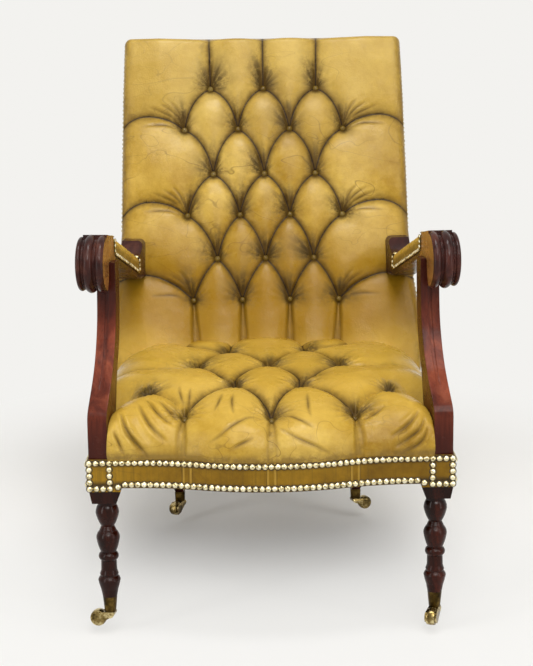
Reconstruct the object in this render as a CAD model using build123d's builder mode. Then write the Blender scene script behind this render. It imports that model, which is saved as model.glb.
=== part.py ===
from build123d import *
import os
from math import asin, cos, degrees, radians, sqrt, tan

# Library chair: buttoned leather armchair on four castors.
# Millimetres, +Z up, +X to the sitter's left hand as seen from the front, front towards -Y.
# While the pieces are made, the floor is Z = 0, the middle of the chair is X = 0
# and the leather on the front corner blocks is Y = 0. The last step moves the
# origin to the middle of the whole chair, on the floor.

# Seat frame
half_width = 321  # outer face of the corner block, wood
block_size = 56  # square block at the head of the front leg
leather = 3  # leather and its lining over the rails
rail_top = 312
rail_depth = 46  # height of a rail's face
rail_thickness = 30
bow = 39  # how far the front rail bows forward
bow_span = 250  # the bow and the hollows beside it end here
side_bend_start = 240  # the side rail is straight to here, then bends inward
side_bend_radius = 760
post_front = 545  # front face of the rear post at the seat
web_thickness = 2
web_width = 50
deck_thickness = 1.2
deck_room = 4  # webbing and deck stay this clear of the leg blocks
web_edge_inset = 10
deck_edge_inset = 7.5
cover_edge_inset = 15
front_web_count = 6
side_web_count = 5
brace_length = 62  # corner block along each rail
brace_height = 40

# Front leg
block_band_drop = 6.5  # leather on the block below the rail
block_taper_height = 23.5  # bare wood of the block
block_taper_outer = 4
block_taper_inner = 9
leg_turned_bottom = 57  # shoulder on the castor cup
leg_ball_radius = 21
# Each turning from the block down: where it ends, as a share of the turned length,
# then its radius at its end and, on a rounded one, halfway, as shares of the ball radius.
leg_neck_radius_share = 0.82
leg_turning_shares = (
    (0.042, 0.790, None),
    (0.124, 0.995, 0.945),
    (0.262, 0.552, 0.840),
    (0.299, 0.700, None),
    (0.313, 0.740, None),
    (0.386, 1.000, 0.940),
    (0.535, 0.643, 0.870),
    (0.617, 0.667, 0.857),
    (0.721, 0.686, None),
    (0.762, 0.800, None),
    (0.782, 0.750, None),
    (0.824, 0.957, 0.885),
    (0.922, 0.743, 0.870),
    (1.000, 0.620, None),
)

# Rear post: sabre leg below, stile above
post_width = 34
post_depth = 50
stile_top = 1030
stile_top_depth = 34
stile_top_x_share = 0.804  # middle of the stile at its top, of the half width
stile_top_front = 727
foot_x = 198  # rear castor's swivel axis
foot_y = 703
foot_top = 50  # shoulder on the castor cup
foot_width = 19
foot_depth = 22
leg_levels = 5
sweep_power = 1.35  # how late the sabre leg sweeps back

# Back frame and back cushion
back_recline = 20  # degrees from upright, front face of the back
back_face_y = 540  # the face passes through this point
back_face_height = 652
back_top = 1049
back_crown = 12  # bulge of the face across its width
back_foot_crown = 1
# The bulge at shares of the half width.
back_bulge_shares = ((0.30, 0.92), (0.62, 0.62), (0.85, 0.28), (1.00, 0.00))
back_edge_round = 12
side_padding = 16
top_rail_height = 52
top_rail_depth = 24
lower_rail_bottom = 400
lower_rail_height = 50
back_panel_thickness = 3
cushion_base = rail_top + web_thickness + deck_thickness
# Half widths of the back, at shares of its height.
back_foot_width_share = 0.950
back_seat_width_share = 0.985
back_width_shares = (
    (0.26, 0.968),
    (0.46, 0.934),
    (0.65, 0.929),
    (0.83, 0.924),
)
back_base_inset = 2

# Back buttoning: rows from the top, each with its height as a share of the back's
# height and the buttons' places as shares of half the width.
back_button_shares = (
    (0.858, (-0.376, 0, 0.376)),
    (0.744, (-0.563, -0.184, 0.184, 0.563)),
    (0.620, (-0.361, 0, 0.361)),
    (0.506, (-0.546, -0.177, 0.177, 0.546)),
    (0.387, (-0.337, 0, 0.337)),
    (0.276, (-0.507, -0.166, 0.166, 0.507)),
)
back_button_depth = 17
back_pleat_slope = 0.95  # half width of a pleat for each millimetre of depth
back_link_share = 0.28  # buttons nearer across than this share are joined by a pleat
side_pleat_rise_share = 0.02
button_radius = 6.8
button_height = 4.5
button_taper = 30
button_sides = 8
dimple_radius = 9
dimple_flare = 45

# Seat cushion
seat_crown = 124  # height of the dome above the deck
seat_front_inset = 1
seat_crown_shares = (
    (0.000, 0.00),
    (0.008, 0.23),
    (0.035, 0.42),
    (0.094, 0.58),
    (0.163, 0.68),
    (0.290, 0.80),
    (0.410, 0.865),
    (0.665, 0.95),
    (0.930, 1.00),
    (1.200, 1.00),
)
seat_shoulder_shares = (
    (1.000, 0.00),
    (0.985, 0.32),
    (0.945, 0.55),
    (0.870, 0.76),
    (0.730, 0.93),
    (0.480, 1.02),
    (0.000, 1.06),
)
# Seat buttoning: places back from the bow, as shares of the seat's length,
# heights as shares of the crown, and places across as shares of half the width.
seat_button_shares = (
    (0.148, 0.50, (-0.458, 0, 0.458)),
    (0.382, 0.69, (-0.226, 0.226)),
    (0.334, 0.69, (-0.680, 0.680)),
    (0.659, 0.76, (-0.436, 0, 0.436)),
    (0.905, 0.76, (-0.237, 0.237)),
)
seat_pleat_slope = 1.0
seat_link_share = 0.26
side_pleat_drop_share = 0.25
support_gap = 0.3
seat_back_gap = 1.5

# Arm support
support_toe = 0.112  # how much the support moves inward for each millimetre back
support_thickness = 34
support_top = 650
# Front and rear edges of the support: places back and heights, as shares of its height.
support_front_shares = (
    (0.000, 0.205),
    (0.047, 0.294),
    (0.127, 0.368),
    (0.226, 0.485),
    (0.290, 0.610),
    (0.325, 0.740),
    (0.338, 0.880),
    (0.340, 1.000),
)
support_rear_shares = (
    (0.168, 0.00),
    (0.229, 0.172),
    (0.261, 0.245),
    (0.299, 0.375),
    (0.374, 0.53),
    (0.425, 0.745),
    (0.440, 1.00),
)
# Flute down the middle of the support's face: its depth at each place of the front edge.
flute_width = 6
flute_depth = 2.4
flute_depth_shares = (-1, -1, 0.4, 1, 1, 1, 1, 1)

# Arm
arm_toe = 0.09
arm_set_in = 7.2  # the arm's inner face, outward of the support's
arm_width = 43
scroll_width = 57
scroll_radius = 52
scroll_back = 102  # scroll axis, back from the block's face
# Reeds round the scroll from its inner face out: where each ends, as a share of its
# width, then its radius at its end and halfway, as shares of the largest radius.
scroll_face_share = 0.90
scroll_reed_shares = (
    (0.270, 0.865, 0.985),
    (0.305, 0.900, None),
    (0.340, 0.865, None),
    (0.655, 0.865, 1.000),
    (0.690, 0.890, None),
    (0.725, 0.850, None),
    (0.860, 0.800, 0.930),
    (1.000, 0.100, 0.480),
    (1.000, 0.000, None),
)
# The notch in the scroll for the support
notch_foot_back = 90
notch_back = 113
notch_belly_shares = (0.70, 0.38)
notch_round = 8
notch_round_share = 0.29
notch_width = 38
pad_front = 165
pad_rear = 440
pad_front_top = 692
pad_rear_top = 617
pad_height = 33
pad_stuffing = 11
pad_side = 2.5
pad_proud = 1.5
pad_round = 6
arm_under = 11  # wood below the pad
arm_block_front = 492
arm_block_top = 644
arm_block_round = 12
arm_block_bottom = 570
arm_block_lead = 480
arm_sag = 6

# Castors
castor_wheel_radius = 15
castor_wheel_width = 15
castor_wheel_crown = 1
castor_trail = 22  # axle behind the swivel axis
castor_top = 28  # underside of the cup
cup_floor = 4
cup_wall = 1.6
cup_bottom_radius = 10.2
cup_top_radius = 13
rear_cup_bottom_width = 20.4
horn_neck_height = 5
horn_neck_radius = 9
horn_throat = 10.5  # depth of the horn on the swivel axis
horn_shoulder = 5
horn_cheek_radius = 10.8
horn_cheek_start = 215  # degrees round the cheek
horn_cheek = 3
elbow_share = 0.75
horn_side_gap = 0.4
horn_wheel_gap = 1.2
swivel_gap = 0.3
running_clearance = 0.06
fit_clearance = 0.02
pin_radius = 3
pin_head_radius = 5
pin_head_height = 2
pin_head_clearance = 0.4
axle_radius = 2
front_left_heading = 170
front_right_heading = -110
rear_left_heading = -115
rear_right_heading = 20

overrun = 40  # how far cutting tools reach past what they cut

# Values worked out from those above
rail_bottom = rail_top - rail_depth
block_face = leather
block_inner_x = half_width - block_size
leg_x = half_width - block_size / 2
leg_y = block_face + block_size / 2
block_band_bottom = rail_bottom - block_band_drop
leg_turned_top = block_band_bottom - block_taper_height
side_bend_angle = degrees(asin((post_front - side_bend_start) / side_bend_radius))
post_outer_x = half_width - side_bend_radius * (1 - cos(radians(side_bend_angle)))
post_x = post_outer_x - post_width / 2
stile_top_x = half_width * stile_top_x_share
back_base_half_width = half_width - back_base_inset
back_top_half_width = stile_top_x + post_width / 2 + side_padding
support_inner_x = half_width - support_thickness
arm_inner_x = support_inner_x + arm_set_in
bow_radius = (bow_span**2 + bow**2) / (4 * bow)
bow_turn = degrees(asin(bow_span / 2 / bow_radius))
back_slope = tan(radians(back_recline))


def stile_share(height):
    """How far up the stile a height is."""
    return (height - rail_top) / (stile_top - rail_top)


def stile_x(height):
    """Middle of the stile."""
    return post_x + (stile_top_x - post_x) * stile_share(height)


def stile_front(height):
    """Front face of the stile."""
    return post_front + (stile_top_front - post_front) * stile_share(height)


def stile_depth(height):
    """Depth of the stile from front to back."""
    return post_depth + (stile_top_depth - post_depth) * stile_share(height)


def back_face(height):
    """Front face of the back cushion, without its bulge."""
    return back_face_y + (height - back_face_height) * back_slope


seat_front = block_face - bow + seat_front_inset
seat_length = back_face(cushion_base + seat_crown) - seat_front
stile_slope = (stile_top_front - post_front) / (stile_top - rail_top)
stile_rear_slope = stile_slope + (stile_top_depth - post_depth) / (stile_top - rail_top)
stile_plane = Plane(origin=(0, post_front, rail_top), x_dir=(1, 0, 0), z_dir=(0, -1, stile_slope))
panel_plane = Plane(
    origin=(0, post_front + post_depth, rail_top), x_dir=(-1, 0, 0), z_dir=(0, 1, -stile_rear_slope)
)
face_plane = Plane(
    origin=(0, back_face(cushion_base), cushion_base), x_dir=(1, 0, 0), z_dir=(0, -1, back_slope)
)
support_plane = Plane(origin=(support_inner_x, 0, 0), x_dir=(-support_toe, 1, 0), z_dir=(1, support_toe, 0))
arm_plane = Plane(origin=(arm_inner_x, 0, 0), x_dir=(-arm_toe, 1, 0), z_dir=(1, arm_toe, 0))


def bow_edge(outset):
    """Plan of the front between the blocks, moved outward by outset: a bow between two hollows."""
    with BuildLine() as edge:
        hollow = CenterArc((bow_span, block_face - bow_radius), bow_radius - outset, 90, bow_turn)
        bowed = CenterArc((0, block_face - bow + bow_radius), bow_radius + outset, -90, bow_turn)
        end = Line(hollow @ 0, (block_inner_x, block_face - outset))
        mirror([hollow, bowed, end], about=Plane.YZ)
    return edge.line


def seat_outline(outset, rear):
    """Plan of the seat frame, moved outward by outset, straight across at the rear."""
    side_x = half_width + outset
    front_y = block_face - outset
    with BuildLine() as outline:
        add(bow_edge(outset))
        corner = Polyline((block_inner_x, front_y), (side_x, front_y), (side_x, side_bend_start))
        bend_angle = degrees(asin((rear - side_bend_start) / (side_bend_radius + outset)))
        bend = CenterArc(
            (half_width - side_bend_radius, side_bend_start), side_bend_radius + outset, 0, bend_angle
        )
        mirror([corner, bend], about=Plane.YZ)
        end = bend @ 1
        Line(end, (-end.X, end.Y))
    return outline.line


# Seat rails
with BuildPart() as front_rail:
    with BuildSketch(Plane.XY.offset(rail_bottom)):
        with BuildLine():
            add([bow_edge(0), bow_edge(-rail_thickness)])
            end = Line((block_inner_x, block_face), (block_inner_x, block_face + rail_thickness))
            mirror(end, about=Plane.YZ)
        make_face()
    extrude(amount=rail_depth)
front_rail.part.label = "front_rail"

with BuildPart() as side_rail_right:
    with BuildSketch(Plane.XY.offset(rail_bottom)):
        side_centre = (half_width - side_bend_radius, side_bend_start)
        inner_radius = side_bend_radius - rail_thickness
        inner_angle = degrees(asin((post_front - side_bend_start) / inner_radius))
        with BuildLine():
            outer = CenterArc(side_centre, side_bend_radius, 0, side_bend_angle)
            inner = CenterArc(side_centre, inner_radius, 0, inner_angle)
            Line(outer @ 1, inner @ 1)
            Polyline(
                outer @ 0,
                (half_width, block_face + block_size),
                (half_width - rail_thickness, block_face + block_size),
                inner @ 0,
            )
        make_face()
    extrude(amount=rail_depth)
side_rail_right.part.label = "side_rail_right"

with BuildPart() as side_rail_left:
    mirror(side_rail_right.part, about=Plane.YZ)
side_rail_left.part.label = "side_rail_left"

with BuildPart() as rear_rail:
    with BuildSketch(Plane.XY.offset(rail_bottom)):
        with Locations((0, post_front + post_depth / 2)):
            Rectangle(2 * (post_x - post_width / 2), rail_thickness)
    extrude(amount=rail_depth)
rear_rail.part.label = "rear_rail"

# Glued blocks in the corners of the frame
with BuildPart() as corner_blocks:
    brace_bottom = rail_top - brace_height
    with BuildSketch(Plane.XY.offset(brace_bottom)):
        with BuildLine():
            Polyline(
                (block_inner_x, block_face),
                (block_inner_x, leg_y + block_size / 2),
                (half_width - rail_thickness, leg_y + block_size / 2),
                (half_width - rail_thickness, leg_y + block_size / 2 + brace_length),
                (block_inner_x - brace_length, block_face),
                close=True,
            )
        make_face()
        rear_inner_x = post_x - post_width / 2
        rail_front = post_front + (post_depth - rail_thickness) / 2
        with BuildLine():
            Polyline(
                (rear_inner_x, rail_front),
                (rear_inner_x - brace_length, rail_front),
                (rear_inner_x, rail_front - brace_length),
                close=True,
            )
        make_face()
        mirror(about=Plane.YZ)
    extrude(amount=brace_height)
    add(front_rail.part, mode=Mode.SUBTRACT)
corner_blocks.part.label = "corner_blocks"

# Webbing tacked across the rails, and the canvas deck over it
with BuildPart() as seat_webbing:
    with BuildSketch(Plane.XY.offset(rail_top)):
        web_length = post_front + block_face + bow
        with Locations((0, (post_front + block_face - bow) / 2)):
            with GridLocations(2 * block_inner_x / front_web_count, 0, front_web_count, 1):
                Rectangle(web_width, web_length)
            with GridLocations(0, web_length / side_web_count, 1, side_web_count):
                Rectangle(2 * half_width, web_width)
        with BuildLine():
            add(seat_outline(-web_edge_inset, post_front))
        make_face(mode=Mode.INTERSECT)
        with Locations((leg_x, leg_y), (-leg_x, leg_y)):
            Rectangle(block_size + 2 * deck_room, block_size + 2 * deck_room, mode=Mode.SUBTRACT)
    extrude(amount=web_thickness)
seat_webbing.part.label = "seat_webbing"

with BuildPart() as seat_deck:
    with BuildSketch(Plane.XY.offset(rail_top + web_thickness)):
        with BuildLine():
            add(seat_outline(-deck_edge_inset, post_front))
        make_face()
        with Locations((leg_x, leg_y), (-leg_x, leg_y)):
            Rectangle(block_size + 2 * deck_room, block_size + 2 * deck_room, mode=Mode.SUBTRACT)
    extrude(amount=deck_thickness)
seat_deck.part.label = "seat_deck"

with BuildPart() as dust_cover:
    with BuildSketch(Plane.XY.offset(rail_bottom - deck_thickness)):
        with BuildLine():
            add(seat_outline(-cover_edge_inset, post_front))
        make_face()
        with Locations((leg_x, leg_y), (-leg_x, leg_y)):
            Rectangle(block_size, block_size, mode=Mode.SUBTRACT)
    extrude(amount=deck_thickness)
dust_cover.part.label = "dust_cover"

# Leather bands over the rails
band_top = rail_top + leather
band_bottom = rail_bottom
front_band_top = cushion_base + leather
with BuildPart() as front_band:
    with BuildSketch(Plane.XY.offset(band_bottom)):
        with BuildLine():
            add([bow_edge(0), bow_edge(leather)])
            end = Line((block_inner_x, 0), (block_inner_x, block_face))
            mirror(end, about=Plane.YZ)
        make_face()
    extrude(amount=front_band_top - band_bottom)
    with BuildSketch(Plane.XY.offset(block_band_bottom)):
        with Locations((leg_x, block_face / 2), (-leg_x, block_face / 2)):
            Rectangle(block_size, block_face)
    extrude(amount=front_band_top - block_band_bottom)
front_band.part.label = "front_band"

with BuildPart() as side_band_right:
    with BuildSketch(Plane.XY.offset(band_bottom)):
        outer_radius = side_bend_radius + leather
        with BuildLine():
            outer = CenterArc(side_centre, outer_radius, 0, side_bend_angle)
            inner = CenterArc(side_centre, side_bend_radius, 0, side_bend_angle)
            Polyline(
                inner @ 1,
                (post_outer_x, post_front + post_depth),
                (post_outer_x + leather, post_front + post_depth),
                outer @ 1,
            )
            Polyline(inner @ 0, (half_width, 0), (half_width + leather, 0), outer @ 0)
        make_face()
    extrude(amount=band_top - band_bottom)
side_band_right.part.label = "side_band_right"

with BuildPart() as rear_band:
    with BuildSketch(Plane.XY.offset(band_bottom)):
        with Locations((0, post_front + post_depth + leather / 2)):
            Rectangle(2 * (post_outer_x + leather), leather)
    extrude(amount=rail_depth)
rear_band.part.label = "rear_band"

with BuildPart() as side_band_left:
    mirror(side_band_right.part, about=Plane.YZ)
side_band_left.part.label = "side_band_left"

# Front leg: block, its tapered end and the turning in one piece, with a tenon for the cup
turned_length = leg_turned_top - leg_turned_bottom
tenon_bottom = castor_top + cup_floor
cup_slope = (cup_top_radius - cup_bottom_radius) / (leg_turned_bottom - castor_top)


def cup_radius(height):
    """Outer radius of a round castor cup."""
    return cup_bottom_radius + cup_slope * (height - castor_top)


with BuildPart() as front_leg_right:
    with BuildSketch(Plane.XY.offset(block_band_bottom)):
        with Locations((leg_x, leg_y)):
            Rectangle(block_size, block_size)
    extrude(amount=rail_top - block_band_bottom)
    with BuildSketch(Plane.XY.offset(block_band_bottom)):
        with Locations((leg_x, leg_y)):
            Rectangle(block_size, block_size)
    taper_shift = (block_taper_inner - block_taper_outer) / 2
    taper_width = block_size - block_taper_inner - block_taper_outer
    with BuildSketch(Plane.XY.offset(leg_turned_top)):
        with Locations((leg_x + taper_shift, leg_y - taper_shift)):
            Rectangle(taper_width, taper_width)
    loft(ruled=True)
    with BuildSketch(Plane(origin=(leg_x, leg_y, 0), x_dir=(1, 0, 0), z_dir=(0, -1, 0))):
        with BuildLine():
            radius = leg_ball_radius * leg_neck_radius_share
            height = leg_turned_top
            Line((0, height), (radius, height))
            for end_share, radius_share, middle_share in leg_turning_shares:
                next_height = leg_turned_top - turned_length * end_share
                next_radius = leg_ball_radius * radius_share
                if middle_share is None:
                    Line((radius, height), (next_radius, next_height))
                else:
                    middle = (leg_ball_radius * middle_share, (height + next_height) / 2)
                    ThreePointArc((radius, height), middle, (next_radius, next_height))
                radius = next_radius
                height = next_height
            Polyline(
                (radius, height),
                (cup_radius(leg_turned_bottom) - cup_wall, height),
                (cup_radius(tenon_bottom) - cup_wall, tenon_bottom),
                (0, tenon_bottom),
                (0, leg_turned_top),
            )
        make_face()
    revolve(axis=Axis((leg_x, leg_y, 0), (0, 0, 1)))
front_leg_right.part.label = "front_leg_right"

with BuildPart() as front_leg_left:
    mirror(front_leg_right.part, about=Plane.YZ)
front_leg_left.part.label = "front_leg_left"

# Rear post: sabre leg swept back and inward, then the stile, in one piece
rear_cup_top_width = max(foot_width, foot_depth) + 2 * cup_wall
rear_cup_slope = (rear_cup_top_width - rear_cup_bottom_width) / (foot_top - castor_top)
with BuildPart() as rear_post_right:
    for level in range(leg_levels):
        share = level / (leg_levels - 1)
        sweep = share**sweep_power
        with BuildSketch(Plane.XY.offset(rail_bottom + (foot_top - rail_bottom) * share)):
            centre_x = post_x + (foot_x - post_x) * sweep
            centre_y = post_front + post_depth / 2 + (foot_y - post_front - post_depth / 2) * sweep
            with Locations((centre_x, centre_y)):
                Rectangle(
                    post_width + (foot_width - post_width) * share,
                    post_depth + (foot_depth - post_depth) * share,
                )
    loft()
    with BuildSketch(Plane.XY.offset(rail_bottom)):
        with Locations((post_x, post_front + post_depth / 2)):
            Rectangle(post_width, post_depth)
    extrude(amount=rail_depth)
    with BuildSketch(Plane.XY.offset(rail_top)):
        with Locations((post_x, post_front + post_depth / 2)):
            Rectangle(post_width, post_depth)
    with BuildSketch(Plane.XY.offset(stile_top)):
        with Locations((stile_top_x, stile_top_front + stile_top_depth / 2)):
            Rectangle(post_width, stile_top_depth)
    loft(ruled=True)
    tenon_width = rear_cup_bottom_width + rear_cup_slope * cup_floor - 2 * cup_wall
    with BuildSketch(Plane.XY.offset(foot_top)):
        with Locations((foot_x, foot_y)):
            Rectangle(foot_width, foot_depth)
    with BuildSketch(Plane.XY.offset(tenon_bottom)):
        with Locations((foot_x, foot_y)):
            Rectangle(tenon_width, tenon_width)
    loft(ruled=True)
rear_post_right.part.label = "rear_post_right"

with BuildPart() as rear_post_left:
    mirror(rear_post_right.part, about=Plane.YZ)
rear_post_left.part.label = "rear_post_left"


rail_set_back = 2 * web_thickness * sqrt(1 + stile_slope**2)


def back_rail(bottom, top, depth):
    """Cross rail between the stiles, set back by the webbing."""
    with BuildPart() as rail:
        for height in (bottom, top):
            with BuildSketch(Plane.XY.offset(height)):
                with Locations((0, stile_front(height) + rail_set_back + depth / 2)):
                    Rectangle(2 * (stile_x(height) - post_width / 2), depth)
        loft(ruled=True)
    return rail


top_rail = back_rail(stile_top - top_rail_height, stile_top, top_rail_depth)
top_rail.part.label = "top_rail"
lower_back_rail = back_rail(lower_rail_bottom, lower_rail_bottom + lower_rail_height, top_rail_depth)
lower_back_rail.part.label = "lower_back_rail"

with BuildPart() as back_webbing:
    with BuildSketch(stile_plane.offset(-2 * web_thickness)):
        incline = sqrt(1 + stile_slope**2)
        web_low = (lower_rail_bottom - rail_top + web_width / 2) * incline
        web_high = (stile_top - rail_top - web_width / 2) * incline
        web_span = 2 * (stile_x(lower_rail_bottom) - post_width / 2)
        with Locations((0, (web_low + web_high) / 2)):
            with GridLocations(web_span / side_web_count, 0, side_web_count - 1, 1):
                Rectangle(web_width, web_high - web_low)
            with GridLocations(0, (web_high - web_low) / side_web_count, 1, side_web_count - 1):
                Rectangle(web_span, web_width)
    extrude(amount=web_thickness)
back_webbing.part.label = "back_webbing"

# Arm support, in its toed-in plane
support_height = support_top - rail_top


def support_points(shares):
    """Places along an edge of the support."""
    return [(block_face + support_height * back, rail_top + support_height * rise) for back, rise in shares]


with BuildPart() as arm_support_right:
    with BuildSketch(support_plane):
        with BuildLine():
            front_edge = Spline(*support_points(support_front_shares), tangents=((0, 1), (0, 1)))
            rear_edge = Spline(*support_points(support_rear_shares))
            Line(front_edge @ 1, rear_edge @ 1)
            Polyline(rear_edge @ 0, (block_face, rail_top), front_edge @ 0)
        make_face()
    extrude(amount=support_thickness)
    with BuildSketch(support_plane.offset((support_thickness - flute_width) / 2)):
        edge_points = zip(support_points(support_front_shares), flute_depth_shares)
        flute_points = [(back + flute_depth * depth, rise) for (back, rise), depth in edge_points]
        with BuildLine():
            flute = Spline(*flute_points)
            Polyline(flute @ 1, (-overrun, support_top), (-overrun, flute_points[0][1]), flute @ 0)
        make_face()
    extrude(amount=flute_width, mode=Mode.SUBTRACT)
arm_support_right.part.label = "arm_support_right"

with BuildPart() as arm_support_left:
    mirror(arm_support_right.part, about=Plane.YZ)
arm_support_left.part.label = "arm_support_left"

# Arm with its reeded scroll, in its own toed-in plane
pad_front_bottom = pad_front_top - pad_height
pad_rear_bottom = pad_rear_top - pad_height
scroll_plane = Plane(
    origin=arm_plane.from_local_coords((scroll_back, support_top, 0)),
    x_dir=arm_plane.z_dir,
    z_dir=-arm_plane.x_dir,
)
with BuildPart() as arm_right:
    with BuildSketch(arm_plane):
        with BuildLine():
            Polyline(
                (scroll_back, support_top),
                (pad_front - arm_under, support_top),
                (pad_front, pad_front_bottom - arm_under),
                (pad_rear, pad_rear_bottom - arm_under),
                (arm_block_lead, arm_block_bottom),
                (stile_top_front, arm_block_bottom),
                (stile_top_front, arm_block_top),
                (arm_block_front, arm_block_top),
            )
            sweep_up = ThreePointArc(
                (arm_block_front, arm_block_top),
                ((arm_block_front + pad_rear) / 2, (arm_block_top + pad_rear_top) / 2 - arm_sag),
                (pad_rear, pad_rear_top),
            )
            Polyline(
                sweep_up @ 1,
                (pad_front, pad_front_top),
                (scroll_back, support_top + scroll_radius),
                (scroll_back, support_top),
            )
        make_face()
    extrude(amount=arm_width)
    split(bisect_by=stile_plane, keep=Keep.TOP)
    with BuildSketch(scroll_plane):
        with BuildLine():
            place = (0, scroll_radius * scroll_face_share)
            Line((0, 0), place)
            for end_share, radius_share, middle_share in scroll_reed_shares:
                next_place = (scroll_width * end_share, scroll_radius * radius_share)
                if middle_share is None:
                    Line(place, next_place)
                else:
                    middle = ((place[0] + next_place[0]) / 2, scroll_radius * middle_share)
                    ThreePointArc(place, middle, next_place)
                place = next_place
            Line(place, (0, 0))
        make_face()
    revolve(axis=Axis(scroll_plane.origin, scroll_plane.x_dir))
    with BuildSketch(arm_plane.offset(-overrun)):
        with BuildLine():
            notch_bottom = support_top - scroll_radius
            notch_side = support_top - notch_round
            belly_across, belly_up = notch_belly_shares
            belly = ThreePointArc(
                (notch_foot_back, notch_bottom),
                (
                    notch_foot_back + (notch_back - notch_foot_back) * belly_across,
                    notch_bottom + (notch_side - notch_bottom) * belly_up,
                ),
                (notch_back, notch_side),
            )
            arch = ThreePointArc(
                belly @ 1,
                (notch_back + notch_round * notch_round_share, support_top - notch_round * notch_round_share),
                (notch_back + notch_round, support_top),
            )
            Polyline(
                arch @ 1,
                (scroll_back + scroll_radius + overrun, support_top),
                (scroll_back + scroll_radius + overrun, notch_bottom - overrun),
                (notch_foot_back, notch_bottom - overrun),
                belly @ 0,
            )
        make_face()
        with BuildLine():
            Polyline(
                (pad_front - arm_under, support_top),
                (pad_front, pad_front_bottom - arm_under),
                (pad_rear, pad_rear_bottom - arm_under),
                (arm_block_lead, arm_block_bottom),
                (arm_block_lead, support_top),
                close=True,
            )
        make_face(mode=Mode.SUBTRACT)
    extrude(amount=overrun + notch_width, mode=Mode.SUBTRACT)
    block_end = Plane(
        origin=arm_plane.from_local_coords((arm_block_lead, arm_block_top, 0)),
        x_dir=arm_plane.z_dir,
        z_dir=arm_plane.x_dir,
    )
    with BuildSketch(block_end):
        with BuildLine():
            corner = CenterArc((arm_block_round, arm_block_round), arm_block_round, 180, 90)
            Polyline(corner @ 1, (arm_block_round, -overrun), (-overrun, -overrun), corner @ 0)
        make_face()
    extrude(amount=stile_top_front, mode=Mode.SUBTRACT)
    with BuildSketch(arm_plane):
        with BuildLine():
            Polyline(
                (pad_front, pad_front_bottom),
                (pad_rear, pad_rear_bottom),
                (pad_rear, pad_rear_top + overrun),
                (pad_front, pad_front_top + overrun),
                close=True,
            )
        make_face()
    extrude(amount=arm_width, mode=Mode.SUBTRACT)
    with BuildSketch(arm_plane.offset(pad_side)):
        with BuildLine():
            Polyline(
                (pad_front, pad_front_bottom),
                (pad_rear, pad_rear_bottom),
                (pad_rear, pad_rear_top - pad_stuffing),
                (pad_front, pad_front_top - pad_stuffing),
                close=True,
            )
        make_face()
    extrude(amount=arm_width - 2 * pad_side)
arm_right.part.label = "arm_right"

with BuildPart() as arm_left:
    mirror(arm_right.part, about=Plane.YZ)
arm_left.part.label = "arm_left"

with BuildPart() as arm_pad_right:
    with BuildSketch(arm_plane.offset(-pad_proud)):
        with BuildLine():
            Polyline(
                (pad_front, pad_front_bottom),
                (pad_rear, pad_rear_bottom),
                (pad_rear, pad_rear_top),
                (pad_front, pad_front_top),
                close=True,
            )
        make_face()
    extrude(amount=arm_width + 2 * pad_proud)
    pad_face = arm_pad_right.faces().sort_by(Axis.Z)[-1]
    fillet(pad_face.edges().sort_by(SortBy.LENGTH)[-2:], pad_round)
    with BuildSketch(arm_plane.offset(pad_side)):
        with BuildLine():
            Polyline(
                (pad_front, pad_front_bottom),
                (pad_rear, pad_rear_bottom),
                (pad_rear, pad_rear_top - pad_stuffing),
                (pad_front, pad_front_top - pad_stuffing),
                close=True,
            )
        make_face()
    extrude(amount=arm_width - 2 * pad_side, mode=Mode.SUBTRACT)
arm_pad_right.part.label = "arm_pad_right"

with BuildPart() as arm_pad_left:
    mirror(arm_pad_right.part, about=Plane.YZ)
arm_pad_left.part.label = "arm_pad_left"


def pleats(pairs, outward, slope, reach):
    """Creases sewn between buttons: three-sided cuts that open outward."""
    cuts = []
    for start, end in pairs:
        run = end - start
        plane = Plane(origin=start, x_dir=outward.cross(run), z_dir=run)
        with BuildPart() as crease:
            with BuildSketch(plane):
                with BuildLine():
                    Polyline((0, 0), (reach * slope, reach), (-reach * slope, reach), close=True)
                make_face()
            extrude(amount=run.length)
        cuts.append(crease.part)
    return cuts


def button_links(rows, reach):
    """Pairs of buttons in neighbouring rows that a pleat joins."""
    links = []
    for upper, lower in zip(rows, rows[1:]):
        for first in upper:
            for second in lower:
                if abs(first.X - second.X) < reach:
                    links.append((first, second))
    return links


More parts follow.
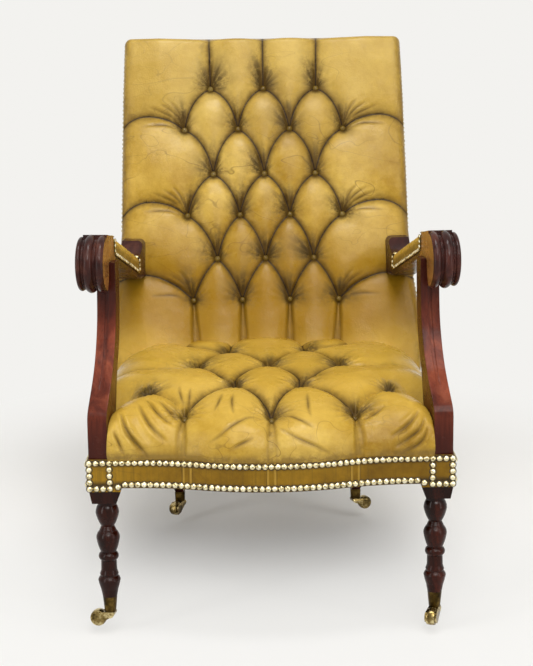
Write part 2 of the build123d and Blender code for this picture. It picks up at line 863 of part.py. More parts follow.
# Back cushion: level sections, each with a bulged face, narrowing to the stiles.
# Each section has its height, half width, bulge, side padding and inset.
back_rise = back_top - cushion_base
seat_join = cushion_base + seat_crown + seat_back_gap
back_sections = [
    (cushion_base, back_base_half_width * back_foot_width_share, back_foot_crown, leather, 0),
    (seat_join, back_base_half_width * back_seat_width_share, back_foot_crown, side_padding, 0),
]
for share, width_share in back_width_shares:
    height = cushion_base + back_rise * share
    back_sections.append((height, back_base_half_width * width_share, back_crown, side_padding, 0))
back_sections.append((back_top - back_edge_round, back_top_half_width, back_crown, side_padding, 0))
top_half_width = back_top_half_width - back_edge_round
back_sections.append((back_top, top_half_width, back_crown, side_padding, back_edge_round))
with BuildPart() as back_cushion:
    for height, width, crown, padding, inset in back_sections:
        front_y = back_face(height) + inset
        rear_y = stile_front(height) + stile_depth(height) - inset
        rear_width = stile_x(height) + post_width / 2 + padding - inset
        with BuildSketch(Plane.XY.offset(height)):
            with BuildLine():
                face = [(width * across, front_y - crown * bulge) for across, bulge in back_bulge_shares]
                face = [(-across, front) for across, front in reversed(face)] + face
                Polyline(*face, (rear_width, rear_y), (-rear_width, rear_y), close=True)
            make_face()
    loft(ruled=True)
    with BuildSketch(Plane.XY.offset(rail_top)):
        with Locations((0, post_front + post_depth)):
            Rectangle(2 * post_outer_x, 2 * post_depth)
    with BuildSketch(Plane.XY.offset(stile_top)):
        with Locations((0, stile_top_front + post_depth)):
            Rectangle(2 * stile_top_x + post_width, 2 * post_depth)
    loft(ruled=True, mode=Mode.SUBTRACT)
    add([arm_right.part, arm_left.part], mode=Mode.SUBTRACT)

    # Pleats run from button to button, up to the top edge and out to the sides.
    incline = sqrt(1 + back_slope**2)
    outward = face_plane.z_dir
    button_rows = []
    for rise, places in back_button_shares:
        row = []
        for place in places:
            along = back_rise * rise * incline
            spot = (back_base_half_width * back_width_shares[-1][1] * place, along, -back_button_depth)
            row.append(face_plane.from_local_coords(Vector(*spot)))
        button_rows.append(row)
    back_links = button_links(button_rows, back_top_half_width * back_link_share)
    edge = Vector(0, back_slope, 1) * back_rise
    back_links += [(button, button + edge * (1 - back_button_shares[0][0])) for button in button_rows[0]]
    for row in (button_rows[1], button_rows[3]):
        for button in (row[0], row[-1]):
            side = Vector(back_top_half_width if button.X > 0 else -back_top_half_width, button.Y, button.Z)
            back_links.append((button, side + edge * side_pleat_rise_share))
    back_links += [(button, button - edge * back_button_shares[-1][0]) for button in button_rows[-1]]
    add(pleats(back_links, outward, back_pleat_slope, overrun), mode=Mode.SUBTRACT)
    for button in [button for row in button_rows for button in row]:
        with BuildSketch(Plane(origin=button, z_dir=outward)):
            RegularPolygon(dimple_radius, button_sides)
        extrude(amount=overrun, taper=-dimple_flare, mode=Mode.SUBTRACT)
back_cushion.part.label = "back_cushion"

with BuildPart() as back_buttons:
    for button in [button for row in button_rows for button in row]:
        with BuildSketch(Plane(origin=button, z_dir=outward)):
            RegularPolygon(button_radius, button_sides)
        extrude(amount=button_height, taper=button_taper)
back_buttons.part.label = "back_buttons"

with BuildPart() as outside_back:
    with BuildSketch(panel_plane):
        panel_top = back_top - back_edge_round
        panel_incline = sqrt(1 + stile_rear_slope**2)
        panel_base = (cushion_base - rail_top) * panel_incline
        panel_rise = (panel_top - rail_top) * panel_incline
        lower_width = post_outer_x + leather
        upper_width = stile_x(panel_top) + post_width / 2 + side_padding
        panel_join = (seat_join - rail_top) * panel_incline
        join_width = stile_x(seat_join) + post_width / 2 + side_padding
        with BuildLine():
            Polyline(
                (-lower_width, panel_base),
                (lower_width, panel_base),
                (join_width, panel_join),
                (upper_width, panel_rise),
                (-upper_width, panel_rise),
                (-join_width, panel_join),
                close=True,
            )
        make_face()
    extrude(amount=back_panel_thickness)
outside_back.part.label = "outside_back"

# Seat cushion: plan, side profile and front profile cut one another
with BuildPart() as support_room:
    with BuildSketch(support_plane.offset(-support_gap)):
        room_points = [(back + support_gap, rise) for back, rise in support_points(support_rear_shares)]
        with BuildLine():
            room_edge = Spline(*room_points)
            Polyline(room_edge @ 1, (-bow, support_top), (-bow, rail_top), room_edge @ 0)
        make_face()
    extrude(amount=2 * support_thickness)
    mirror(about=Plane.YZ)

with BuildPart() as seat_cushion:
    with BuildSketch(Plane.XY.offset(cushion_base)):
        with BuildLine():
            add(seat_outline(-seat_front_inset, post_front))
        make_face()
    extrude(amount=2 * seat_crown)
    with BuildSketch(Plane.YZ.offset(-half_width)):
        profile = [
            (seat_front + seat_length * back, cushion_base + seat_crown * rise)
            for back, rise in seat_crown_shares
        ]
        with BuildLine():
            Spline(*profile)
            Polyline(profile[-1], (profile[-1][0], cushion_base), profile[0])
        make_face()
    extrude(amount=2 * half_width, mode=Mode.INTERSECT)
    with BuildSketch(Plane.XZ.offset(-seat_front - 2 * seat_length)):
        shoulder = [
            (half_width * across, cushion_base + seat_crown * rise) for across, rise in seat_shoulder_shares
        ]
        shoulder += [(-across, rise) for across, rise in reversed(shoulder[:-1])]
        with BuildLine():
            Spline(*shoulder)
            Line(shoulder[-1], shoulder[0])
        make_face()
    extrude(amount=3 * seat_length, mode=Mode.INTERSECT)
    split(bisect_by=face_plane.offset(seat_back_gap), keep=Keep.TOP)
    add(support_room.part, mode=Mode.SUBTRACT)
    seat_rows = []
    for back, rise, places in seat_button_shares:
        depth = seat_front + seat_length * back
        level = cushion_base + seat_crown * rise
        seat_rows.append([Vector(half_width * place, depth, level) for place in places])
    front_row, inner_row, outer_row, middle_row, rear_row = seat_rows
    second_row = [outer_row[0], *inner_row, outer_row[1]]
    seat_links = button_links([front_row, second_row, middle_row, rear_row], half_width * seat_link_share)
    seat_links += [(button, Vector(button.X, seat_front, cushion_base)) for button in front_row]
    for button in outer_row:
        side = half_width if button.X > 0 else -half_width
        seat_links.append((button, Vector(side, button.Y, button.Z - seat_crown * side_pleat_drop_share)))
    seat_links += [(button, Vector(button.X, seat_length, button.Z)) for button in rear_row]
    add(pleats(seat_links, Vector(0, 0, 1), seat_pleat_slope, overrun), mode=Mode.SUBTRACT)
    for button in [button for row in seat_rows for button in row]:
        with BuildSketch(Plane(origin=button)):
            RegularPolygon(dimple_radius, button_sides)
        extrude(amount=overrun, taper=-dimple_flare, mode=Mode.SUBTRACT)
seat_cushion.part.label = "seat_cushion"

with BuildPart() as seat_buttons:
    for button in [button for row in seat_rows for button in row]:
        with BuildSketch(Plane(origin=button)):
            RegularPolygon(button_radius, button_sides)
        extrude(amount=button_height, taper=button_taper)
seat_buttons.part.label = "seat_buttons"

# Castor pieces, made round the swivel axis with the wheel trailing towards +X
wheel_axis = Axis((castor_trail, 0, castor_wheel_radius), (0, 1, 0))
swivel_axis = Axis((0, 0, 0), (0, 0, 1))
wheel_plane = Plane(origin=(castor_trail, 0, castor_wheel_radius), x_dir=(0, 1, 0), z_dir=(1, 0, 0))
horn_top = castor_top - swivel_gap
horn_half_width = castor_wheel_width / 2 + horn_side_gap + horn_cheek
pin_head_top = horn_top - horn_neck_height - swivel_gap

with BuildPart() as castor_cup_front:
    with BuildSketch(Plane.XZ):
        with BuildLine():
            Polyline(
                (pin_radius + fit_clearance, castor_top),
                (cup_bottom_radius, castor_top),
                (cup_top_radius, leg_turned_bottom),
                (cup_radius(leg_turned_bottom) - cup_wall + fit_clearance, leg_turned_bottom),
                (cup_radius(tenon_bottom) - cup_wall + fit_clearance, tenon_bottom),
                (pin_radius + fit_clearance, tenon_bottom),
                close=True,
            )
        make_face()
    revolve(axis=swivel_axis)

with BuildPart() as castor_cup_rear:
    with BuildSketch(Plane.XY.offset(castor_top)):
        Rectangle(rear_cup_bottom_width, rear_cup_bottom_width)
    with BuildSketch(Plane.XY.offset(foot_top)):
        Rectangle(foot_width + 2 * cup_wall, foot_depth + 2 * cup_wall)
    loft(ruled=True)
    with BuildSketch(Plane.XY.offset(tenon_bottom)):
        Rectangle(tenon_width, tenon_width)
    with BuildSketch(Plane.XY.offset(foot_top)):
        Rectangle(foot_width, foot_depth)
    loft(ruled=True, mode=Mode.SUBTRACT)
    with BuildSketch(Plane.XY.offset(castor_top)):
        Circle(pin_radius + fit_clearance)
    extrude(amount=cup_floor, mode=Mode.SUBTRACT)

with BuildPart() as castor_pin:
    with BuildSketch(Plane.XY.offset(pin_head_top)):
        Circle(pin_radius)
    extrude(amount=tenon_bottom - pin_head_top)
    with BuildSketch(Plane.XY.offset(pin_head_top)):
        Circle(pin_head_radius)
    extrude(amount=-pin_head_height)

with BuildPart() as castor_horn:
    with BuildSketch(Plane.XZ.offset(-horn_half_width)):
        with BuildLine():
            elbow = ThreePointArc(
                (-horn_neck_radius, horn_top),
                (-horn_neck_radius * elbow_share, horn_top - horn_throat * elbow_share),
                (0, horn_top - horn_throat),
            )
            cheek = CenterArc(
                (castor_trail, castor_wheel_radius),
                horn_cheek_radius,
                horn_cheek_start,
                450 - horn_cheek_start,
            )
            Line(elbow @ 1, cheek @ 0)
            Polyline(cheek @ 1, (horn_neck_radius, horn_top), elbow @ 0)
        make_face()
    extrude(amount=2 * horn_half_width)
    with BuildSketch(Plane.YZ.offset(-castor_trail)):
        with BuildLine():
            Polyline(
                (horn_neck_radius, horn_top),
                (horn_half_width, horn_top - horn_shoulder),
                (horn_half_width, 0),
                (-horn_half_width, 0),
                (-horn_half_width, horn_top - horn_shoulder),
                (-horn_neck_radius, horn_top),
                close=True,
            )
        make_face()
    extrude(amount=3 * castor_trail, mode=Mode.INTERSECT)
    with BuildSketch(Plane.XZ.offset(-castor_wheel_width / 2 - horn_side_gap)):
        with Locations((castor_trail, castor_wheel_radius)):
            Circle(castor_wheel_radius + horn_wheel_gap)
    extrude(amount=castor_wheel_width + 2 * horn_side_gap, mode=Mode.SUBTRACT)
    with BuildSketch(Plane.XY.offset(horn_top)):
        Circle(pin_radius + running_clearance)
    extrude(amount=-2 * horn_neck_height, mode=Mode.SUBTRACT)
    with BuildSketch(Plane.XY.offset(horn_top - horn_neck_height)):
        Circle(pin_head_radius + pin_head_clearance)
    extrude(amount=-castor_top, mode=Mode.SUBTRACT)
    with BuildSketch(Plane.XZ.offset(-horn_half_width)):
        with Locations((castor_trail, castor_wheel_radius)):
            Circle(axle_radius + fit_clearance)
    extrude(amount=2 * horn_half_width, mode=Mode.SUBTRACT)

with BuildPart() as castor_axle:
    with BuildSketch(Plane.XZ.offset(-horn_half_width)):
        with Locations((castor_trail, castor_wheel_radius)):
            Circle(axle_radius)
    extrude(amount=2 * horn_half_width)

with BuildPart() as castor_wheel:
    with BuildSketch(wheel_plane):
        with BuildLine():
            half_wheel = castor_wheel_width / 2
            rim = castor_wheel_radius - castor_wheel_crown
            tread = ThreePointArc((-half_wheel, rim), (0, castor_wheel_radius), (half_wheel, rim))
            bore = axle_radius + running_clearance
            Polyline(tread @ 1, (half_wheel, bore), (-half_wheel, bore), tread @ 0)
        make_face()
    revolve(axis=wheel_axis)

pieces = [
    front_rail.part,
    side_rail_left.part,
    side_rail_right.part,
    rear_rail.part,
    corner_blocks.part,
    front_leg_left.part,
    front_leg_right.part,
    rear_post_left.part,
    rear_post_right.part,
    arm_support_left.part,
    arm_support_right.part,
    arm_left.part,
    arm_right.part,
    top_rail.part,
    lower_back_rail.part,
    seat_webbing.part,
    seat_deck.part,
    dust_cover.part,
    front_band.part,
    side_band_left.part,
    side_band_right.part,
    rear_band.part,
    back_webbing.part,
    back_cushion.part,
    back_buttons.part,
    outside_back.part,
    seat_cushion.part,
    seat_buttons.part,
    arm_pad_left.part,
    arm_pad_right.part,
]

# The four castors
castor_places = {
    "front_left": (-leg_x, leg_y, front_left_heading, castor_cup_front),
    "front_right": (leg_x, leg_y, front_right_heading, castor_cup_front),
    "rear_left": (-foot_x, foot_y, rear_left_heading, castor_cup_rear),
    "rear_right": (foot_x, foot_y, rear_right_heading, castor_cup_rear),
}
for corner, (place_x, place_y, heading, cup) in castor_places.items():
    fixed = Location((place_x, place_y, 0))
    turned = Location((place_x, place_y, 0), (0, 0, heading))
    for name, piece, place in (
        ("cup", cup, fixed),
        ("pin", castor_pin, fixed),
        ("horn", castor_horn, turned),
        ("axle", castor_axle, turned),
        ("wheel", castor_wheel, turned),
    ):
        copy = piece.part.moved(place)
        copy.label = f"castor_{name}_{corner}"
        pieces.append(copy)

# Origin: middle of the whole chair, on the floor
boxes = [piece.bounding_box() for piece in pieces]
middle_x = (min(box.min.X for box in boxes) + max(box.max.X for box in boxes)) / 2
middle_y = (min(box.min.Y for box in boxes) + max(box.max.Y for box in boxes)) / 2
to_origin = Location((-middle_x, -middle_y, -min(box.min.Z for box in boxes)))
print("origin moved by", to_origin.position)

os.makedirs("parts", exist_ok=True)
for piece in pieces:
    label = piece.label
    placed = piece.moved(to_origin)
    placed.label = label
    export_step(placed, f"parts/{label}.step")
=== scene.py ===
import math

import bpy
import numpy as np
from mathutils import Matrix, Vector


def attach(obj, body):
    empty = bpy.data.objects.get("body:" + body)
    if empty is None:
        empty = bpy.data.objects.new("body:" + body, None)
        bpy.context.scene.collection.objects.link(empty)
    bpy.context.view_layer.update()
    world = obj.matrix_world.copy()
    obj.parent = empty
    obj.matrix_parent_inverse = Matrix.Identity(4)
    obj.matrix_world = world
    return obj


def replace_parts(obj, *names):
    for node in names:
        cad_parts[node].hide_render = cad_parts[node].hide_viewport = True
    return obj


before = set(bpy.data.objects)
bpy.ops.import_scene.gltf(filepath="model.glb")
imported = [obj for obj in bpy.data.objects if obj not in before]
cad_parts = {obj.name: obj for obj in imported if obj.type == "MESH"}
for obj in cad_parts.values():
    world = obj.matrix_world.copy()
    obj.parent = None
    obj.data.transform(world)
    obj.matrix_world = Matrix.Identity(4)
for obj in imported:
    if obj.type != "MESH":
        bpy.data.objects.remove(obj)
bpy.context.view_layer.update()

# Lengths are millimetres, with the floor at Z = 0 and the leather of the front corner
# blocks at Y = 0. This shift and a division by 1000 give the frame's metres.
SHIFT = -363.271
BAND_TOP_ROW, RAIL_LOW_ROW, BLOCK_LOW_ROW = 311.6, 272.3, 265.4
CURVE_STEPS = 24


def place(points):
    """Millimetre points to the frame's metres."""
    return (np.asarray(points, float) + np.array([0.0, SHIFT, 0.0])) / 1000.0


def metres_back(y):
    """A place from front to back in the frame's metres."""
    return (y + SHIFT) / 1000


# Mesh helpers


def linked(name, data):
    obj = bpy.data.objects.new(name, data)
    bpy.context.scene.collection.objects.link(obj)
    return obj


def smooth_mesh(name, verts, faces, material):
    """An object of places in the frame's metres."""
    mesh = bpy.data.meshes.new(name)
    mesh.from_pydata(verts, [], faces)
    mesh.update()
    mesh.polygons.foreach_set("use_smooth", [True] * len(mesh.polygons))
    mesh.materials.append(material)
    return linked(name, mesh)


def make_object(name, verts, faces, material):
    obj = smooth_mesh(name, place(verts).tolist(), faces, material)
    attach(obj, "frame")
    return obj


def grid_faces(rows, cols, closed=False):
    faces = []
    for i in range(rows - 1):
        for j in range(cols if closed else cols - 1):
            k = (j + 1) % cols
            a, b = i * cols + j, i * cols + k
            faces.append((a, b, b + cols, a + cols))
    return faces


def cover_object(name, points, *wear):
    """A buttoned cover from a grid of points, with what its leather reads at each of them."""
    rows, cols = points.shape[:2]
    obj = make_object(name, points.reshape(-1, 3), grid_faces(rows, cols), cover_leather)
    for key, values in zip(("patina", "smudge_and_shadow", "fold", "edge"), wear):
        layer = obj.data.attributes.new(key, "FLOAT", "POINT")
        layer.data.foreach_set("value", np.asarray(values, dtype=np.float32).ravel())
    return obj


def smooth_step(x, low, high):
    t = np.clip((x - low) / (high - low), 0.0, 1.0)
    return t * t * (3 - 2 * t)


def bump_at(x, centre, width):
    return np.exp(-(((x - centre) / width) ** 2))


def run_lengths(points):
    """The length along a line of points up to each of them."""
    return np.r_[0, np.cumsum(np.linalg.norm(np.diff(points, axis=0), axis=1))]


def at_lengths(points, along):
    steps = run_lengths(points)
    return np.stack([np.interp(along, steps, column) for column in points.T], axis=1)


def smooth_curve(points, count):
    """Points spaced evenly along a rounded line through a list of points."""
    points = np.asarray(points, float)
    dense = []
    padded = np.vstack([2 * points[0] - points[1], points, 2 * points[-1] - points[-2]])
    for i in range(len(points) - 1):
        p0, p1, p2, p3 = padded[i : i + 4]
        for t in np.linspace(0, 1, CURVE_STEPS, endpoint=False):
            bend = (2 * p0 - 5 * p1 + 4 * p2 - p3) * t**2 + (3 * p1 - p0 - 3 * p2 + p3) * t**3
            dense.append(0.5 * (2 * p1 + (p2 - p0) * t + bend))
    dense = np.array(dense + [points[-1]])
    along = np.linspace(0, run_lengths(dense)[-1], count)
    return at_lengths(dense, along), along


def spaced(points, pitch):
    """Places a pitch apart along a line of points, both ends included."""
    points = np.asarray(points, float)
    total = run_lengths(points)[-1]
    return at_lengths(points, np.linspace(0, total, round(total / pitch) + 1))


# Materials


class Nodes:
    """A short way to write the nodes of a material or of the world."""

    def __init__(self, owner):
        self.owner = owner
        owner.use_nodes = True
        self.tree = owner.node_tree
        self.shader = self.tree.nodes.get("Principled BSDF")
        self.object_place = self.new("ShaderNodeTexCoord").outputs["Object"]

    def new(self, kind, **settings):
        node = self.tree.nodes.new(kind)
        for key, value in settings.items():
            setattr(node, key, value)
        return node

    def link(self, source, target):
        self.tree.links.new(source, target)

    def feed(self, socket, value):
        if isinstance(value, (int, float)):
            socket.default_value = value
        elif isinstance(value, tuple):
            socket.default_value = (*value, 1) if socket.type == "RGBA" else value
        else:
            self.link(value, socket)

    def fill(self, node, **values):
        """Values, colours or links for a node's inputs, by name with _ for a space."""
        for key, value in values.items():
            self.feed(node.inputs[key.replace("_", " ")], value)
        return node.outputs

    def mapped(self, scale=(1, 1, 1), shift=(0, 0, 0)):
        node = self.new("ShaderNodeMapping")
        return self.fill(node, Scale=scale, Location=shift, Vector=self.object_place)["Vector"]

    def axes(self, source=None):
        return self.fill(self.new("ShaderNodeSeparateXYZ"), Vector=source or self.object_place)

    def noise(self, scale, detail=4, rough=0.55, vector=None, distortion=0.0):
        node = self.new("ShaderNodeTexNoise")
        self.fill(node, Scale=scale, Detail=detail, Roughness=rough, Distortion=distortion)
        return self.fill(node, Vector=vector or self.object_place)["Fac"]

    def voronoi(self, scale):
        node = self.new("ShaderNodeTexVoronoi")
        return self.fill(node, Scale=scale, Vector=self.object_place)["Distance"]

    def ramp(self, source, stops):
        node = self.new("ShaderNodeValToRGB")
        ramp = node.color_ramp
        while len(ramp.elements) < len(stops):
            ramp.elements.new(0.5)
        for element, (position, colour) in zip(ramp.elements, stops):
            element.position = position
            element.color = (*colour, 1)
        self.link(source, node.inputs["Fac"])
        return node.outputs["Color"]

    def math(self, operation, a, b=None, clamp=False):
        node = self.new("ShaderNodeMath", operation=operation, use_clamp=clamp)
        self.feed(node.inputs[0], a)
        if b is not None:
            self.feed(node.inputs[1], b)
        return node.outputs["Value"]

    def times(self, *values):
        product = values[0]
        for value in values[1:]:
            product = self.math("MULTIPLY", product, value, clamp=True)
        return product

    def span(self, source, low, high, start=0.0, end=1.0):
        """A soft step from start to end while the source goes from low to high."""
        node = self.new("ShaderNodeMapRange", interpolation_type="SMOOTHSTEP")
        self.fill(node, From_Min=low, From_Max=high, To_Min=start, To_Max=end)
        return self.fill(node, Value=source)["Result"]

    def near(self, source, centre, width):
        """1 at the centre, 0 at a distance of width."""
        away = self.math("ABSOLUTE", self.math("SUBTRACT", source, centre))
        return self.span(away, 0.0, width, 1.0, 0.0)

    def over(self, colour, tint, *shares):
        """The colour with a tint over it, as strong as the product of the shares."""
        node = self.new("ShaderNodeMix", data_type="RGBA", blend_type="MIX")
        for index, value in ((0, self.times(*shares)), (6, colour), (7, tint)):
            self.feed(node.inputs[index], value)
        return node.outputs[2]

    def attribute(self, name):
        node = self.new("ShaderNodeAttribute", attribute_type="GEOMETRY", attribute_name=name)
        return node.outputs["Fac"]

    def bump(self, height, strength, distance, normal=None):
        node = self.new("ShaderNodeBump")
        self.fill(node, Strength=strength, Distance=distance, Height=height)
        if normal is not None:
            self.fill(node, Normal=normal)
        return node.outputs["Normal"]

    def rounded(self, radius):
        """Normals that round off the edges of a CAD piece."""
        return self.fill(self.new("ShaderNodeBevel", samples=6), Radius=radius)["Normal"]

    def seen(self):
        """1 for rays from the camera and for those that metal and glass send on."""
        path = self.new("ShaderNodeLightPath").outputs
        seen = path["Is Camera Ray"]
        for ray in ("Is Glossy Ray", "Is Transmission Ray"):
            seen = self.math("MAXIMUM", seen, path[ray])
        return seen

    def shown(self, factor, plain, paper, output):
        """The output shows one shader or, as far as the factor goes, the other."""
        mixer = self.new("ShaderNodeMixShader")
        for index, source in enumerate((factor, plain, paper)):
            self.link(source, mixer.inputs[index])
        self.link(mixer.outputs["Shader"], self.tree.nodes[output].inputs["Surface"])


def srgb(r, g, b):
    """A colour written as 0-255 values to linear light."""
    shares = (c / 255 for c in (r, g, b))
    return tuple(((c + 0.055) / 1.055) ** 2.4 if c > 10 / 255 else c / 12.92 for c in shares)


LEATHER_LIGHT = srgb(196, 164, 78)
LEATHER_BODY = srgb(168, 132, 38)
LEATHER_DEEP = srgb(126, 90, 10)
# Painted shadow line inside the folds
FOLD_SHADOW_LINE = srgb(26, 16, 6)
# Painted sheen at the top of the back
PAINTED_SHEEN_TOP = srgb(176, 150, 80)
SEAT_TINT = srgb(214, 174, 70)
# Painted shade low on the back
PAINTED_SHADE_LOW = srgb(142, 103, 6)
RUBBED_GREY = srgb(88, 70, 36)
# Dirt brushed up from the buttons, also the colour of their painted shadow rings
BRUSHED_DIRT_AND_SHADOW = srgb(52, 36, 0)
# Darker towards the covers' edges, painted shade on the seat
EDGE_DARK = srgb(118, 92, 40)
# Painted highlight on a pleat's lip and painted shadow in its cut
PLEAT_LIP_HIGHLIGHT, PLEAT_CUT_SHADOW = srgb(196, 160, 70), srgb(70, 50, 14)
PAPER_TONE = srgb(243, 242, 239)


def leather_base(n, light, body, deep, wrinkles=0.6):
    colour = n.ramp(n.noise(4.5, 3, 0.55), [(0.32, deep), (0.5, body), (0.68, light)])
    speckle = n.ramp(n.noise(45.0, 6, 0.72), [(0.36, deep), (0.64, light)])
    colour = n.over(colour, speckle, 0.3)
    # Wrinkles of age follow the level lines of slow noises
    for scale, shift, width in (((5.0, 5.0, 9.0), 1.3, 0.0040), ((11.0, 11.0, 17.0), 4.1, 0.0065)):
        field = n.noise(1.0, 2.0, 0.45, n.mapped(scale, (shift,) * 3), 0.35)
        mask = n.span(n.noise(6.0, 2, 0.5, n.mapped(shift=(shift, 0, 0))), 0.42, 0.56)
        colour = n.over(colour, srgb(92, 66, 22), n.near(field, 0.5, width), mask, wrinkles)
    return colour


def leather_finish(n, colour, rough=(0.20, 0.34), normal=None, dirt_and_shade=0.0):
    wear = n.math("ADD", n.span(n.noise(26.0, 5), 0.3, 0.7, *rough), dirt_and_shade, clamp=True)
    grain = n.math("ADD", n.voronoi(430.0), n.noise(900.0, 2))
    soft = n.bump(n.noise(30.0, 6, 0.62), 0.3, 0.004, normal)
    n.fill(n.shader, Base_Color=colour, Roughness=wear, Normal=n.bump(grain, 0.2, 0.0007, soft))
    n.fill(n.shader, Specular_IOR_Level=0.18)
    return n.owner


def buttoned_leather(name):
    """Leather that reads its wear and its painted shade from the covers' attributes."""
    n = Nodes(bpy.data.materials.new(name))
    colour = leather_base(n, LEATHER_LIGHT, LEATHER_BODY, LEATHER_DEEP)
    _, back, level = n.axes()
    # Painted sheen pales the top of the back, the seat is brighter, and painted shade deepens the back
    # low down
    drift = n.math("ADD", level, n.math("MULTIPLY", n.noise(4.0, 3), 0.16))
    colour = n.over(colour, PAINTED_SHEEN_TOP, n.span(drift, 0.80, 1.06, 0.0, 0.45))
    seat = n.span(back, metres_back(500), metres_back(440))
    colour = n.over(colour, SEAT_TINT, seat, n.span(level, 0.33, 0.42), 0.5)
    # Painted shade: the back goes deeper in tone low down
    low = n.times(n.span(drift, 0.80, 0.60), n.span(back, metres_back(440), metres_back(470)))
    colour = n.over(colour, PAINTED_SHADE_LOW, low, 0.8)
    rub = n.noise(85.0, 6, 0.75)
    broad = n.noise(15.0, 5, 0.68)
    # Grey rubbed bands beside the folds
    mottle = n.math("ADD", n.math("MULTIPLY", rub, 0.6), n.math("MULTIPLY", broad, 0.6))
    ragged = n.span(mottle, 0.46, 0.68)
    grey = n.times(n.attribute("patina"), n.math("ADD", ragged, 0.12))
    colour = n.over(colour, RUBBED_GREY, grey, 0.9)
    # Dark olive dirt brushed up from each button, and a painted shadow ring round it
    smudge_and_shadow = n.times(n.attribute("smudge_and_shadow"), n.math("ADD", n.math("MULTIPLY", rub, 1.2), 0.6))
    colour = n.over(colour, BRUSHED_DIRT_AND_SHADOW, smudge_and_shadow, 0.93)
    # Darker towards the covers' edges; on the seat this is painted shade along the band and the sides
    edge = n.times(n.attribute("edge"), n.math("ADD", ragged, 0.35))
    colour = n.over(colour, EDGE_DARK, edge, 0.75)
    # Painted shade darkens the leather towards each fold, down to a painted shadow line in it: reach
    # from the fold in millimetres, strength and colour
    distance = n.attribute("fold")
    fold_shade = (12.0, 0.4, srgb(92, 64, 10)), (4.5, 0.6, srgb(60, 42, 10)), (1.5, 0.97, FOLD_SHADOW_LINE)
    for reach, strength, tint in fold_shade:
        colour = n.over(colour, tint, n.span(distance, 0.3, reach, strength, 0.0))
    return leather_finish(n, colour, dirt_and_shade=n.math("MULTIPLY", n.math("MAXIMUM", smudge_and_shadow, grey), 0.35))


def plain_leather(name, tone=1.0, wear_and_light=0.0):
    n = Nodes(bpy.data.materials.new(name))
    colours = (LEATHER_LIGHT, LEATHER_BODY, LEATHER_DEEP)
    colour = leather_base(n, *(tuple(c * tone for c in shade) for shade in colours))
    scuff = n.span(n.noise(30.0, 6, 0.75), 0.5, 0.68)
    colour = n.over(colour, srgb(110, 92, 62), scuff, wear_and_light)
    return leather_finish(n, colour)


BAND_PLEATS = (-0.147, 0.0, 0.147)


def band_leather(name):
    """Leather over the rails: dirt and painted shadow round the nail rows, and pleats in the front
    with painted highlight and shadow.
    """
    n = Nodes(bpy.data.materials.new(name))
    colour = leather_base(n, srgb(148, 112, 22), srgb(116, 84, 6), srgb(84, 58, 0), 0.3)
    across, back, level = n.axes()
    brushed = n.noise(1.0, 5, 0.7, n.mapped((260.0, 260.0, 9.0)))
    colour = n.over(colour, srgb(84, 64, 18), n.span(brushed, 0.45, 0.75), 0.55)
    ragged = n.math("ADD", n.math("MULTIPLY", n.noise(140.0, 4, 0.7), 0.9), 0.45)
    # Dirt and painted shadow darken the leather along each nail row
    for row in (BAND_TOP_ROW, RAIL_LOW_ROW):
        colour = n.over(colour, srgb(44, 32, 12), n.near(level, row / 1000, 0.0105), ragged)
    front = n.span(back, metres_back(120), metres_back(100))
    height = 0.0
    for centre in BAND_PLEATS:
        offset = n.math("ABSOLUTE", n.math("SUBTRACT", across, centre))
        lip = n.times(n.near(offset, 0.0062, 0.0030), front)
        cut = n.times(n.near(offset, 0.0092, 0.0014), front)
        # A painted highlight on each pleat's lip and painted shadow in its cut, besides the bump
        colour = n.over(colour, PLEAT_LIP_HIGHLIGHT, lip, 0.35)
        colour = n.over(colour, PLEAT_CUT_SHADOW, cut, 0.45)
        height = n.math("SUBTRACT", n.math("ADD", height, lip), cut)
    return leather_finish(n, colour, (0.42, 0.6), n.bump(height, 0.4, 0.0010, n.rounded(0.0015)))


def wood_material(name, axis, light, body, dark, cheek_light=None, gloss=0.16, radius=0.0025, shaded=()):
    """Polished wood with its grain along an axis."""
    light, body, dark = srgb(*light), srgb(*body), srgb(*dark)
    n = Nodes(bpy.data.materials.new(name))

    def grain(across, along):
        scale = [across] * 3
        scale[axis] = along
        return n.mapped(tuple(scale))

    figure = n.noise(1.0, 6, 0.6, grain(30.0, 3.0), 0.7)
    pores = n.noise(1.0, 3, 0.5, grain(520.0, 20.0))
    colour = n.ramp(figure, [(0.30, dark), (0.52, body), (0.76, light)])
    colour = n.over(colour, dark, n.span(pores, 0.55, 0.66), 0.4)
    colour = n.over(colour, dark, n.span(n.noise(7.0, 3), 0.42, 0.66, 0.45, 0.0))
    if cheek_light is not None:
        # Inward cheeks take a painted tone: light reflected from the leather on the arms, and painted
        # shade on the supports
        tint, reach = srgb(*cheek_light[0]), cheek_light[1]
        turned = n.math("ABSOLUTE", n.axes(n.new("ShaderNodeNewGeometry").outputs["Normal"])[0])
        across, back, _ = n.axes()
        inner = n.span(n.math("ABSOLUTE", across), reach + 0.001, reach)
        ahead = n.span(back, metres_back(182), metres_back(168))
        wear_and_light = n.over(tuple(0.62 * c for c in tint), tint, n.span(figure, 0.35, 0.65))
        colour = n.over(colour, wear_and_light, n.span(turned, 0.8, 0.95), inner, ahead)
    # Darker towards the ends: old polish, and painted shade where the surface turns from the light
    for clear, full in shaded:
        level = n.math("ADD", n.axes()[2], n.math("MULTIPLY", n.noise(12.0, 4), 0.04))
        colour = n.over(colour, dark, n.span(level, clear + 0.02, full + 0.02, 0.0, 0.75))
    polish = n.span(n.noise(16.0, 5), 0.3, 0.7, gloss, gloss + 0.2)
    waves = n.bump(n.noise(24.0, 3), 0.25, 0.006, n.rounded(radius))
    relief = n.bump(n.math("ADD", pores, figure), 0.1, 0.0008, waves)
    n.fill(n.shader, Base_Color=colour, Roughness=polish, Normal=relief)
    n.fill(n.shader, Specular_IOR_Level=0.12, Coat_Weight=0.1, Coat_Roughness=0.1)
    return n.owner


